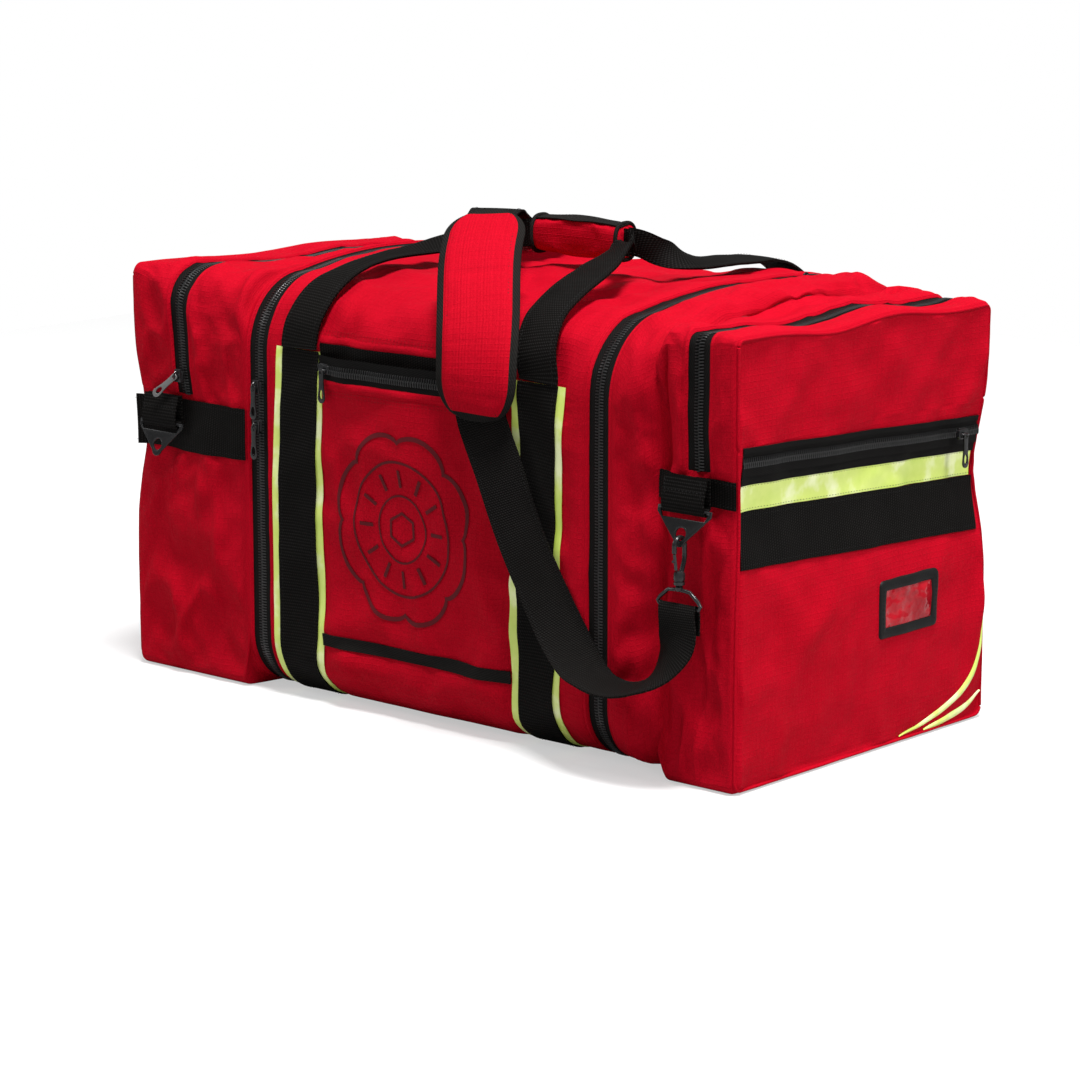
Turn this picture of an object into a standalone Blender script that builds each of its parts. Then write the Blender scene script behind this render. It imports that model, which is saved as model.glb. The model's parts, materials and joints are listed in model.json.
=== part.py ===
"""Fire-gear duffel bag: zipped main compartment, two swing-out end pockets, handles and shoulder strap.

Metres, +Z up. The origin is the centre of the underside. -Y is the front, +X is the hook end.
"""
import math

import bpy
import bmesh
from mathutils import Matrix, Vector

# Driving dimensions of the sewn body
LENGTH = 0.762
WIDTH = 0.381
HEIGHT = 0.406
HALF_L = LENGTH / 2
HALF_W = WIDTH / 2
CROWN = 0.012              # rise of the soft top over the middle
PANEL = 0.004              # padded panel thickness
GAP = 0.0003               # running gap between touching pieces
SEAM = 0.0003              # half gap at a zip line
RIM = 0.008                # straight rim of an end pocket beside its main zip
TOP_ROUND = 0.072          # top edge radius of the main compartment
LOW_ROUND = 0.057          # bottom edge radius of the main compartment
BOARD_HALF = 0.128         # base board
BOARD_THICK = 0.004
BOX_TOP_ROUND = 0.024      # top edge radius of the end pockets
BOX_LOW_ROUND = 0.020      # bottom edge radius of the end pockets
ARC_STEPS = 7
FAR = 0.3                  # reach of a cutter beyond the bag

# Zip lines and folds along X
MAIN_ZIP = {-1: -0.203, 1: 0.227}
FOLD = {-1: -0.262, 1: 0.301}
POCKET_ZIP = {-1: -0.312, 1: 0.340}
FLAP_FOOT = {-1: 0.281, 1: 0.3065}   # fold lines; the right one lies above the end zip
ZIP_FOOT = 0.285           # lower ends of the pocket zips
TAPE = 0.012               # one half of a zip tape
TAPE_THICK = 0.0012
TAPE_FOOT = 0.030

# Webbing
WEB = 0.045                # black carrying webbing
WEB_X = {-1: -0.152, 1: 0.150}
WEB_THICK = 0.0018
TRIM = 0.062               # reflective tape under the webbing
TRIM_THICK = 0.0006
WEB_TOP = 0.350
HANDLE = 0.030             # folded width of the handles over the top
STRAP = 0.046              # shoulder strap webbing
PAD = 0.077
PAD_THICK = 0.011

# Front pocket
POCKET_X = (-0.121, 0.118)
POCKET_ZIP_Z = (0.322, 0.333)
POCKET_ZIP_THICK = 0.002
LOWER_BAND_Z = (0.058, 0.070)
LOWER_BAND_THICK = 0.0015

# Bands on the end pockets, as height ranges
LEFT_BAND_X = (-0.364, -0.219)
LEFT_BAND_Z = (0.227, 0.277)
RIGHT_BAND_X = (0.294, 0.362)
RIGHT_BAND_Z = (0.255, 0.280)
END_REACH = 0.150          # half length of a band on an end face
END_WEB_Z = (0.200, 0.250)
END_TRIM_Z = (0.2505, 0.2745)
END_ZIP_Z = (0.284, 0.304)
END_ZIP_THICK = 0.0022
END_SLOPE = 0.05           # the right end's bands fall towards the back

# Label window
FRAME_Y = (0.019, 0.108)
FRAME_Z = (0.104, 0.159)
FRAME_THICK = 0.0026
FRAME_RIM = 0.010
PANE_THICK = 0.001

# Grip
GRIP_X = (-0.012, 0.100)
GRIP_Z = (0.429, 0.466)
GRIP_HALF = 0.016

# Zip sliders and pulls
SLIDER = (0.010, 0.013, 0.003)
BRIDGE = 0.0056            # height of the pull's hinge line over the slider's foot
PULL_LENGTH = 0.032
PULL_THICK = 0.0016
PULL_TOP = 0.0035          # half width at the hinge
PULL_LOW = 0.0045          # half width at the free end
PULL_HEAD = 0.0017         # reach past the hinge, short of the slider in every position

# Hardware
TAB_X = 0.332
TAB_W = 0.048
TAB_Z = (0.2465, 0.281)
BAR_Y = -0.1981
BAR_Z = 0.2515
BAR_BORE = 0.0027
RING_TILT = math.radians(15)
RING_W = 0.060
RING_DROP = 0.033
RING_THICK = 0.002
HOOK_Y = -0.2054
HOOK_TOP = 0.2281
HOOK_WIRE = 0.0022
BOW_R = 0.007
BARREL = (0.186, 0.198)
BARREL_R = 0.005
EYE_Z = 0.166
EYE_W = 0.052

RED = (0.45, 0.006, 0.012)
BLACK = (0.012, 0.012, 0.013)
LIME = (0.62, 0.85, 0.10)
METAL = (0.03, 0.03, 0.033)
STEEL = (0.30, 0.30, 0.30)


# ---------------------------------------------------------------- scene helpers

def clear_scene():
    for old in list(bpy.data.objects):
        bpy.data.objects.remove(old, do_unlink=True)


def new_collection(name):
    coll = bpy.data.collections.new(name)
    bpy.context.scene.collection.children.link(coll)
    return coll


def material(name, color, rough, metal=0.0, alpha=1.0):
    mat = bpy.data.materials.new(name)
    mat.use_nodes = True
    shader = mat.node_tree.nodes["Principled BSDF"]
    shader.inputs["Base Color"].default_value = (*color, 1.0)
    shader.inputs["Roughness"].default_value = rough
    shader.inputs["Metallic"].default_value = metal
    shader.inputs["Alpha"].default_value = alpha
    mat.diffuse_color = (*color, 1.0)
    return mat


def finish_mesh(name, bm, mat, coll, origin=(0, 0, 0)):
    """Make an object from a bmesh in world space, with its origin where it turns."""
    bmesh.ops.remove_doubles(bm, verts=bm.verts, dist=1e-6)
    bmesh.ops.recalc_face_normals(bm, faces=bm.faces)
    bmesh.ops.translate(bm, verts=bm.verts, vec=-Vector(origin))
    mesh = bpy.data.meshes.new(name)
    bm.to_mesh(mesh)
    bm.free()
    obj = bpy.data.objects.new(name, mesh)
    obj.location = origin
    if mat:
        mesh.materials.append(mat)
    coll.objects.link(obj)
    return obj


def box_mesh(low, high):
    bm = bmesh.new()
    bmesh.ops.create_cube(bm, size=1.0)
    size = Vector(high) - Vector(low)
    middle = (Vector(high) + Vector(low)) / 2
    bmesh.ops.scale(bm, verts=bm.verts, vec=size)
    bmesh.ops.translate(bm, verts=bm.verts, vec=middle)
    return bm


def box(name, low, high, mat, coll, bevel=0.0, origin=(0, 0, 0)):
    obj = finish_mesh(name, box_mesh(low, high), mat, coll, origin)
    if bevel:
        edge = obj.modifiers.new("edge", "BEVEL")
        edge.width = bevel
        edge.segments = 2
    return obj


def cylinder_between(bm, a, b, radius, sides=12):
    a, b = Vector(a), Vector(b)
    spin = (b - a).to_track_quat("Z", "Y").to_matrix().to_4x4()
    place = Matrix.Translation((a + b) / 2) @ spin
    bmesh.ops.create_cone(bm, cap_ends=True, segments=sides, radius1=radius, radius2=radius,
                          depth=(b - a).length, matrix=place)


def cutter_from(bm, name):
    obj = finish_mesh(name, bm, None, CUTTERS)
    obj.hide_render = True
    obj.display_type = "WIRE"
    return obj


def boolean(obj, cutter, operation):
    mod = obj.modifiers.new(operation.lower(), "BOOLEAN")
    mod.operation = operation
    mod.object = cutter
    return mod


def flat_outline(name, outlines, thick, mat, coll, place):
    """A plate from 2D outlines: the first is the edge, the others are holes."""
    curve = bpy.data.curves.new(name, "CURVE")
    curve.dimensions = "2D"
    curve.fill_mode = "BOTH"
    curve.extrude = thick / 2
    for points in outlines:
        spline = curve.splines.new("POLY")
        spline.points.add(len(points) - 1)
        for point, (u, v) in zip(spline.points, points):
            point.co = (u, v, 0, 1)
        spline.use_cyclic_u = True
    return solid_from_curve(name, curve, mat, coll, place)


def wire(name, points, radius, mat, coll, cyclic=False):
    """A round wire on a POLY spline with filled ends."""
    curve = bpy.data.curves.new(name, "CURVE")
    curve.dimensions = "3D"
    curve.bevel_depth = radius
    curve.bevel_resolution = 2
    curve.use_fill_caps = not cyclic
    spline = curve.splines.new("POLY")
    spline.points.add(len(points) - 1)
    for point, where in zip(spline.points, points):
        point.co = (*where, 1)
    spline.use_cyclic_u = cyclic
    return solid_from_curve(name, curve, mat, coll, Matrix())


def solid_from_curve(name, curve, mat, coll, place):
    """Turn a curve into a closed mesh object in world space."""
    temp = bpy.data.objects.new(name + "_curve", curve)
    bpy.context.scene.collection.objects.link(temp)
    temp.matrix_world = place
    bpy.context.view_layer.update()
    evaluated = temp.evaluated_get(bpy.context.evaluated_depsgraph_get())
    bm = bmesh.new()
    bm.from_mesh(bpy.data.meshes.new_from_object(evaluated))
    bmesh.ops.transform(bm, matrix=place, verts=bm.verts)
    bpy.data.objects.remove(temp, do_unlink=True)
    bmesh.ops.remove_doubles(bm, verts=bm.verts, dist=1e-5)
    return finish_mesh(name, bm, mat, coll)


def set_origin(obj, pivot):
    """Put the object's origin where it turns, and leave its shape in place."""
    obj.data.transform(Matrix.Translation(-Vector(pivot)))
    obj.location = pivot


# ---------------------------------------------------------------- body sections

def blend(a, b, t):
    return a + (b - a) * t


def boxiness(x):
    """0 in the main compartment, 1 from the fold of the end pocket outwards."""
    side = 1 if x > 0 else -1
    start, stop = MAIN_ZIP[side] + side * RIM, FOLD[side]
    return min(1.0, max(0.0, (x - start) / (stop - start)))


def section(x, grow=0.0):
    """Outer profile in Y and Z, from the front bottom arc over the top to the back bottom arc."""
    t = boxiness(x)
    top_r = max(blend(TOP_ROUND, BOX_TOP_ROUND, t) + grow, 0.002)
    low_r = max(blend(LOW_ROUND, BOX_LOW_ROUND, t) + grow, 0.002)
    crown = CROWN * (1 - t)
    half = HALF_W + grow
    top = HEIGHT + grow
    low = -grow
    quarter = math.pi / 2
    points = []
    for i in range(ARC_STEPS + 1):
        a = quarter * i / ARC_STEPS
        points.append((-half + low_r - low_r * math.sin(a), low + low_r - low_r * math.cos(a)))
    for i in range(ARC_STEPS + 1):
        a = quarter * i / ARC_STEPS
        points.append((-half + top_r - top_r * math.cos(a), top - top_r + top_r * math.sin(a)))
    flat = half - top_r
    for i in range(1, ARC_STEPS):
        y = flat * (2 * i / ARC_STEPS - 1)
        points.append((y, top + crown * (1 - (y / flat) ** 2)))
    front = points[:2 * ARC_STEPS + 2]
    return points + [(-y, z) for y, z in reversed(front)]


def over_top(x, grow, foot, back_foot=None):
    """The part of the section above a foot height, front to back."""
    back_foot = foot if back_foot is None else back_foot
    half = HALF_W + grow
    upper = section(x, grow)[ARC_STEPS + 1:-(ARC_STEPS + 1)]
    return [(-half, foot)] + upper + [(half, back_foot)]


def under(x, grow, top):
    """The part of the section below a height, front to back round the bottom."""
    half = HALF_W + grow
    points = section(x, grow)
    front = points[:ARC_STEPS + 1]
    back = points[-(ARC_STEPS + 1):]
    return [(-half, top)] + front[::-1] + back[::-1] + [(half, top)]


def skin(bm, rows):
    """Quads between equal rows of points."""
    verts = [[bm.verts.new(p) for p in row] for row in rows]
    for a, b in zip(verts, verts[1:]):
        for i in range(len(a) - 1):
            bm.faces.new((a[i], a[i + 1], b[i + 1], b[i]))
    return verts


def shell_object(name, bm, thick, mat, coll, offset=-1.0):
    obj = finish_mesh(name, bm, mat, coll)
    solid = obj.modifiers.new("thickness", "SOLIDIFY")
    solid.thickness = thick
    solid.offset = offset
    return obj


def band(name, x_pair, rows_at, near, thick, mat):
    """A strip round the body: rows_at(x, grow) gives its line at one offset from the skin."""
    bm = bmesh.new()
    rings = []
    for x in x_pair:
        inner = rows_at(x, near)
        outer = rows_at(x, near + thick)
        rings.append([bm.verts.new((x, y, z)) for y, z in inner + outer[::-1]])
    count = len(rings[0])
    for i in range(count):
        j = (i + 1) % count
        bm.faces.new((rings[0][i], rings[0][j], rings[1][j], rings[1][i]))
    half = count // 2
    for ring in rings:
        for i in range(half - 1):
            bm.faces.new((ring[i], ring[i + 1], ring[count - 2 - i], ring[count - 1 - i]))
    return finish_mesh(name, bm, mat, PARTS)


# ---------------------------------------------------------------- ribbons

def smooth(points, steps):
    """Catmull-Rom through the points."""
    result = []
    last = len(points) - 1
    for i in range(last):
        p0 = points[max(i - 1, 0)]
        p1, p2 = points[i], points[i + 1]
        p3 = points[min(i + 2, last)]
        for k in range(steps):
            t = k / steps
            result.append(0.5 * ((2 * p1) + (p2 - p0) * t + (2 * p0 - 5 * p1 + 4 * p2 - p3) * t * t
                                 + (3 * p1 - p0 - 3 * p2 + p3) * t ** 3))
    result.append(points[last])
    return result


def ribbon(name, stations, width, thick, mat, steps=3, round_ends=False):
    """A flat strip through stations of (point, outward normal)."""
    where = smooth([Vector(p) for p, _ in stations], steps)
    normals = smooth([Vector(n) for _, n in stations], steps)
    total = sum((b - a).length for a, b in zip(where, where[1:]))
    bm = bmesh.new()
    rings = []
    run = 0.0
    for i, point in enumerate(where):
        ahead = where[min(i + 1, len(where) - 1)]
        behind = where[max(i - 1, 0)]
        run += (point - behind).length
        along = (ahead - behind).normalized()
        side = along.cross(normals[i]).normalized()
        up = side.cross(along).normalized()
        half = width / 2
        if round_ends:
            edge = min(run, total - run) / half
            half *= 0.55 + 0.45 * math.sqrt(max(0.0, 1 - (1 - min(edge, 1)) ** 2))
        corners = ((-half, -thick / 2), (half, -thick / 2), (half, thick / 2), (-half, thick / 2))
        rings.append([bm.verts.new(point + side * u + up * v) for u, v in corners])
    for a, b in zip(rings, rings[1:]):
        for i in range(4):
            j = (i + 1) % 4
            bm.faces.new((a[i], a[j], b[j], b[i]))
    bm.faces.new(rings[0])
    bm.faces.new(rings[-1])
    return finish_mesh(name, bm, mat, PARTS)


# ---------------------------------------------------------------- main compartment

def make_main_shell(mats):
    bm = bmesh.new()
    xs = (MAIN_ZIP[-1] + SEAM, 0.0, MAIN_ZIP[1] - SEAM)
    skin(bm, [[(x, y, z) for y, z in section(0.0)] for x in xs])
    return shell_object("main_panel", bm, PANEL, mats["red"], PARTS)


def make_bottom(mats):
    half = HALF_W - LOW_ROUND - 3 * GAP
    low = (MAIN_ZIP[-1] + SEAM, -half, 0.0)
    high = (MAIN_ZIP[1] - SEAM, half, PANEL)
    bottom = box("bottom_panel", low, high, mats["red"], PARTS)
    board_low = (MAIN_ZIP[-1] + TAPE, -BOARD_HALF, PANEL + GAP)
    board_high = (MAIN_ZIP[1] - TAPE, BOARD_HALF, PANEL + GAP + BOARD_THICK)
    box("base_board", board_low, board_high, mats["black_plastic"], PARTS, bevel=0.001)
    return bottom


def inlay(side, width, near, thick, name, mat, hosts):
    """A strip let into the skin, from the front over the underside to the back."""
    pair = (WEB_X[side] - width / 2, WEB_X[side] + width / 2)
    strip = band(name, pair, lambda x, g: under(0.0, g, WEB_TOP), near, thick, mat)
    slot = (pair[0] - GAP, pair[1] + GAP)
    room = band(name + "_slot", slot, lambda x, g: under(0.0, g, WEB_TOP + GAP),
                near - GAP, 0.001 + GAP - near, None)
    PARTS.objects.unlink(room)
    CUTTERS.objects.link(room)
    room.hide_render = True
    room.display_type = "WIRE"
    for host in hosts:
        boolean(host, room, "DIFFERENCE")
    return strip


def make_webbing(mats, hosts):
    """Reflective tape sits in the skin and the black webbing on it, flush with the skin."""
    for side, word in ((-1, "left"), (1, "right")):
        deep = -(WEB_THICK + GAP + TRIM_THICK)
        inlay(side, TRIM, deep, TRIM_THICK, "reflective_tape_" + word, mats["lime"], hosts)
        pair = (WEB_X[side] - WEB / 2, WEB_X[side] + WEB / 2)
        band("webbing_" + word, pair, lambda x, g: under(0.0, g, WEB_TOP),
             -WEB_THICK, WEB_THICK, mats["web"])


def make_main_zips(mats):
    for side, word in ((-1, "left"), (1, "right")):
        line = MAIN_ZIP[side]
        pair = sorted((line - side * SEAM, line - side * TAPE))
        band("main_zip_" + word, pair, lambda x, g: over_top(0.0, g, TAPE_FOOT, 0.345),
             GAP, TAPE_THICK, mats["tape"])


def make_front_pocket(mats):
    front_band("front_pocket_zip", POCKET_X, POCKET_ZIP_Z, mats["tape"], POCKET_ZIP_THICK)
    front_band("lower_band", POCKET_X, LOWER_BAND_Z, mats["web"], LOWER_BAND_THICK)


# ---------------------------------------------------------------- end pockets

def end_rows(side):
    """Section rings from the main zip out to the end face."""
    line = MAIN_ZIP[side] + side * SEAM
    rows = [(line, 0.0), (MAIN_ZIP[side] + side * RIM, 0.0)]
    rows += [(blend(line, FOLD[side], 0.5), 0.0), (FOLD[side], 0.0)]
    rows += [(side * (HALF_L - 0.016), 0.0), (side * (HALF_L - 0.009), -0.0018)]
    rows += [(side * (HALF_L - 0.003), -0.007), (side * HALF_L, -0.015)]
    return [[(x, y, z) for y, z in section(x, grow)] for x, grow in rows]


def end_tub(name, side, mat):
    """One end as a tub that is open towards the main compartment."""
    bm = bmesh.new()
    rings = [[bm.verts.new(p) for p in row] for row in end_rows(side)]
    for a, b in zip(rings, rings[1:]):
        for i in range(len(a)):
            j = (i + 1) % len(a)
            bm.faces.new((a[i], a[j], b[j], b[i]))
    bm.faces.new(rings[-1])
    return shell_object(name, bm, PANEL, mat, PARTS)


def make_end(side, word, mats):
    """Lower tub and upper flap of one end pocket, and the wall behind them."""
    line = POCKET_ZIP[side]
    far = side * (HALF_L + FAR)
    tub = end_tub(word + "_end_tub", side, mats["red"])
    flap = end_tub(word + "_end_flap", side, mats["red"])
    for obj, slack, operation in ((tub, 0.0, "DIFFERENCE"), (flap, SEAM * 2, "INTERSECT")):
        xs = sorted((line + side * slack, far))
        room = box_mesh((xs[0], -FAR, FLAP_FOOT[side] + slack), (xs[1], FAR, 2 * FAR))
        boolean(obj, cutter_from(room, "%s_cut" % obj.name), operation)
    wall = bmesh.new()
    for x in (MAIN_ZIP[side] + side * 0.002, MAIN_ZIP[side] + side * 0.005):
        ring = [wall.verts.new((x, y, z)) for y, z in section(x, -PANEL - GAP)]
        wall.faces.new(ring)
    wall.verts.ensure_lookup_table()
    count = len(wall.verts) // 2
    for i in range(count):
        j = (i + 1) % count
        wall.faces.new((wall.verts[i], wall.verts[j], wall.verts[count + j], wall.verts[count + i]))
    finish_mesh(word + "_inner_wall", wall, mats["lining"], PARTS)
    pair = sorted((line - side * TAPE, line))
    band(word + "_pocket_zip", pair, lambda x, g: over_top(FOLD[side], g, ZIP_FOOT),
         GAP, TAPE_THICK, mats["tape"])


def end_drop(y):
    """How far the right end's bands have fallen at a given Y."""
    return END_SLOPE * (y + END_REACH)


def end_band(name, side, z_pair, thick, mat):
    """A strip on the flat of an end face."""
    x0 = HALF_L + GAP
    xs = sorted((side * x0, side * (x0 + thick)))
    bm = box_mesh((xs[0], -END_REACH, z_pair[0]), (xs[1], END_REACH, z_pair[1]))
    if side > 0:
        for vert in bm.verts:
            vert.co.z -= end_drop(vert.co.y)
    return finish_mesh(name, bm, mat, PARTS)


def front_band(name, x_pair, z_pair, mat, thick=WEB_THICK):
    """A strip on the flat of the front."""
    y = -HALF_W - GAP
    return box(name, (x_pair[0], y - thick, z_pair[0]), (x_pair[1], y, z_pair[1]), mat, PARTS)


def make_end_bands(mats):
    front_band("left_front_band", LEFT_BAND_X, LEFT_BAND_Z, mats["web"])
    front_band("right_front_band", RIGHT_BAND_X, RIGHT_BAND_Z, mats["web"])
    end_band("left_end_band", -1, LEFT_BAND_Z, WEB_THICK, mats["web"])
    end_band("end_webbing", 1, END_WEB_Z, WEB_THICK, mats["web"])
    end_band("end_reflective_band", 1, END_TRIM_Z, WEB_THICK, mats["lime"])
    end_band("end_pocket_zip", 1, END_ZIP_Z, END_ZIP_THICK, mats["tape"])


def make_id_window(mats):
    """A vinyl frame with a clear pane let into it."""
    x = HALF_L + GAP
    low, high = (FRAME_Y[0], FRAME_Z[0]), (FRAME_Y[1], FRAME_Z[1])
    frame = box("id_frame", (x, *low), (x + FRAME_THICK, *high), mats["vinyl"], PARTS)
    hole_low = [v + FRAME_RIM for v in low]
    hole_high = [v - FRAME_RIM for v in high]
    hole = box_mesh((x - FRAME_RIM, *hole_low), (x + FRAME_RIM, *hole_high))
    boolean(frame, cutter_from(hole, "id_window_cut"), "DIFFERENCE")
    pane_low = [v + GAP for v in hole_low]
    pane_high = [v - GAP for v in hole_high]
    box("id_window", (x, *pane_low), (x + PANE_THICK, *pane_high), mats["clear"], PARTS)


# ---------------------------------------------------------------- zip sliders

def make_slider(name, centre, along, outward, mat):
    """Slider block on a zip line with a raised bridge for its pull."""
    centre, along, outward = Vector(centre), Vector(along), Vector(outward)
    across = along.cross(outward)
    turn = Matrix((across, along, outward)).transposed().to_4x4()
    bm = bmesh.new()
    bmesh.ops.create_cube(bm, size=1.0)
    bmesh.ops.scale(bm, verts=bm.verts, vec=SLIDER)
    for vert in bm.verts:
        if vert.co.y > 0:
            vert.co.x *= 0.72
    bmesh.ops.translate(bm, verts=bm.verts, vec=(0, 0, SLIDER[2] / 2 + GAP))
    bmesh.ops.transform(bm, matrix=Matrix.Translation(centre) @ turn, verts=bm.verts)
    return finish_mesh(name, bm, mat, PARTS, origin=centre)


def make_pull(name, hinge, down, outward, mat):
    """Flat pull plate with a round eye and a long grip hole, hanging from its hinge line."""
    hinge, down, outward = Vector(hinge), Vector(down), Vector(outward)
    across = down.cross(outward)
    place = Matrix((across, down, outward)).transposed().to_4x4()
    place = Matrix.Translation(hinge) @ place
    turns = [math.pi * i / 8 for i in range(9)]
    edge = [(PULL_TOP * math.cos(a), -PULL_HEAD * math.sin(a)) for a in turns]
    edge += [(-PULL_LOW * math.cos(a), PULL_LENGTH - 0.006 + PULL_LOW * math.sin(a)) for a in turns]
    hole = [(0.0027 * math.cos(a), PULL_LENGTH - 0.009 + 0.005 * math.sin(a))
            for a in (2 * math.pi * k / 10 for k in range(10))]
    obj = flat_outline(name, [edge, hole], PULL_THICK, mat, PARTS, place)
    set_origin(obj, hinge)
    return obj


FACE = HALF_W + GAP + TAPE_THICK + 0.0002
TOP_SLOPE = Vector((0, -0.088, 0.0097)).normalized()
TOP_NORMAL = Vector((0, 0.0097, 0.088)).normalized()
DOWN = (0, 0, -1)
ZIP_SLIDERS = {
    # name: (slider centre, travel direction, outward, way the pull hangs)
    "front_pocket": ((-0.110, -0.1930, 0.3275), (1, 0, 0), (0, -1, 0), DOWN),
    "main_left_upper": ((-0.203, -FACE, 0.3010), (0, 0, 1), (0, -1, 0), DOWN),
    "main_left_lower": ((-0.203, -FACE, 0.2620), (0, 0, -1), (0, -1, 0), DOWN),
    "main_right": ((0.227, 0.1080, 0.4112), TOP_SLOPE, TOP_NORMAL, -TOP_SLOPE),
    "pocket_left": ((-0.312, -FACE, 0.3000), (0, 0, 1), (0, -1, 0), (-0.74, -0.26, -0.67)),
    "pocket_right": ((0.340, FACE, 0.3190), (0, 0, 1), (0, 1, 0), DOWN),
    "end_pocket": ((HALF_L + GAP + END_ZIP_THICK + GAP, 0.1420, 0.2940 - end_drop(0.1420)),
                   Vector((0, -1, END_SLOPE)).normalized(), (1, 0, 0), DOWN),
}


def make_zip_sliders(mats):
    for name, (centre, along, outward, hang) in ZIP_SLIDERS.items():
        make_slider("slider_" + name, centre, along, outward, mats["metal"])
        hinge = Vector(centre) + Vector(outward) * BRIDGE
        down = Vector(hang).normalized()
        face = (Vector(outward) - down * down.dot(Vector(outward))).normalized()
        mat = mats["steel"] if name == "pocket_left" else mats["metal"]
        make_pull("pull_" + name, hinge, down, face, mat)


# ---------------------------------------------------------------- tabs, rings and hooks

def make_tab(word, mats):
    """Webbing folded round the ring's bar and sewn to the pocket wall."""
    low = (TAB_X - TAB_W / 2, BAR_Y - 0.0044, TAB_Z[0])
    high = (TAB_X + TAB_W / 2, -HALF_W - WEB_THICK - 2 * GAP, TAB_Z[1])
    tab = box("ring_tab_" + word, low, high, mats["web"], PARTS)
    bore = bmesh.new()
    ends = [(TAB_X + s * (TAB_W / 2 + 0.01), BAR_Y, BAR_Z) for s in (-1, 1)]
    cylinder_between(bore, ends[0], ends[1], BAR_BORE, 16)
    boolean(tab, cutter_from(bore, "ring_tab_bore_" + word), "DIFFERENCE")
    return tab


def make_ring(word, mats):
    """Triangular plate: a bar in the tab, a slot under it and a round eye near its tip."""
    half = RING_W / 2
    tip = 0.0065
    edge = [(-half, 0.0015), (half, 0.0015), (half, -0.004)]
    for i in range(9):
        a = math.pi * (i + 1) / 10
        edge.append((tip * math.cos(a), -RING_DROP + tip - tip * math.sin(a)))
    edge.append((-half, -0.004))
    slot = [(-0.0265, -0.0016), (0.0265, -0.0016), (0.0235, -0.0080), (-0.0235, -0.0080)]
    eye = [(0.0058 * math.cos(a), -0.0215 + 0.0058 * math.sin(a))
           for a in (2 * math.pi * k / 14 for k in range(14))]
    tilt = Matrix.Rotation(math.pi / 2 - RING_TILT, 4, "X")
    place = Matrix.Translation((TAB_X, BAR_Y, BAR_Z)) @ tilt
    return flat_outline("ring_" + word, [edge, slot, eye], RING_THICK, mats["metal"], PARTS, place)


def make_hook(word, mats):
    """Snap hook body: barrel with a bow that passes through the ring's eye."""
    centre = HOOK_TOP - BOW_R
    path = [(TAB_X, HOOK_Y + 0.001, 0.1925), (TAB_X, HOOK_Y + 0.0045, 0.2010),
            (TAB_X, HOOK_Y + BOW_R, 0.2090)]
    for i in range(13):
        a = math.pi * i / 12
        path.append((TAB_X, HOOK_Y + BOW_R * math.cos(a), centre + BOW_R * math.sin(a)))
    path.append((TAB_X, HOOK_Y - BOW_R, 0.2150))
    bow = wire("hook_" + word, path, HOOK_WIRE, mats["metal"], PARTS)
    barrel = bmesh.new()
    cylinder_between(barrel, (TAB_X, HOOK_Y, BARREL[0]), (TAB_X, HOOK_Y, BARREL[1]), BARREL_R, 16)
    boolean(bow, cutter_from(barrel, "hook_barrel_" + word), "UNION")
    bore = bmesh.new()
    cylinder_between(bore, (TAB_X, HOOK_Y, BARREL[0] - 0.01), (TAB_X, HOOK_Y, 0.1925), 0.00245, 16)
    boolean(bow, cutter_from(bore, "hook_bore_" + word), "DIFFERENCE")
    return bow


def make_gate(word, mats):
    low = (TAB_X, HOOK_Y - 0.0046, 0.2000)
    high = (TAB_X, HOOK_Y - BOW_R, 0.2143)
    bm = bmesh.new()
    cylinder_between(bm, low, high, 0.0015, 10)
    return finish_mesh("hook_gate_" + word, bm, mats["metal"], PARTS)


def make_eye(word, mats):
    """Swivel eye: a post in the barrel carrying a wide wire loop for the strap."""
    half = EYE_W / 2 - 0.002
    loop = [(TAB_X, HOOK_Y, 0.1815), (TAB_X + 0.012, HOOK_Y, 0.1808), (TAB_X + half, HOOK_Y, EYE_Z + 0.004),
            (TAB_X + half - 0.001, HOOK_Y, EYE_Z), (TAB_X - half + 0.001, HOOK_Y, EYE_Z),
            (TAB_X - half, HOOK_Y, EYE_Z + 0.004), (TAB_X - 0.012, HOOK_Y, 0.1808)]
    eye = wire("swivel_eye_" + word, loop, 0.0018, mats["metal"], PARTS, cyclic=True)
    post = bmesh.new()
    cylinder_between(post, (TAB_X, HOOK_Y, 0.1812), (TAB_X, HOOK_Y, 0.1915), 0.0020, 16)
    boolean(eye, cutter_from(post, "swivel_post_" + word), "UNION")
    return eye


def bake(obj):
    """Keep the modified shape as the object's own mesh."""
    bpy.context.view_layer.update()
    evaluated = obj.evaluated_get(bpy.context.evaluated_depsgraph_get())
    mesh = bpy.data.meshes.new_from_object(evaluated)
    obj.modifiers.clear()
    obj.data = mesh


def place_hardware(obj, where, pivot):
    """Put a piece modelled at the front-right corner where it belongs."""
    bake(obj)
    pivot = Vector(pivot)
    if where == "back_left":
        turn = Matrix.Rotation(math.pi, 4, "Z")
        obj.data.transform(turn)
        pivot = turn @ pivot
    if where == "front_left":
        obj.data.transform(Matrix.Translation((-2 * TAB_X, 0, 0)))
        pivot.x -= 2 * TAB_X
    set_origin(obj, pivot)


def make_hardware(mats):
    bar = (TAB_X, BAR_Y, BAR_Z)
    bow = (TAB_X, HOOK_Y, HOOK_TOP)
    for where in ("front_right", "front_left", "back_left"):
        place_hardware(make_tab(where, mats), where, bar)
        place_hardware(make_ring(where, mats), where, bar)
    for where in ("front_right", "back_left"):
        place_hardware(make_hook(where, mats), where, bow)
        place_hardware(make_gate(where, mats), where, (TAB_X, HOOK_Y - 0.0046, 0.2000))
        place_hardware(make_eye(where, mats), where, (TAB_X, HOOK_Y, 0.1830))


# ---------------------------------------------------------------- handles and strap

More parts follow.
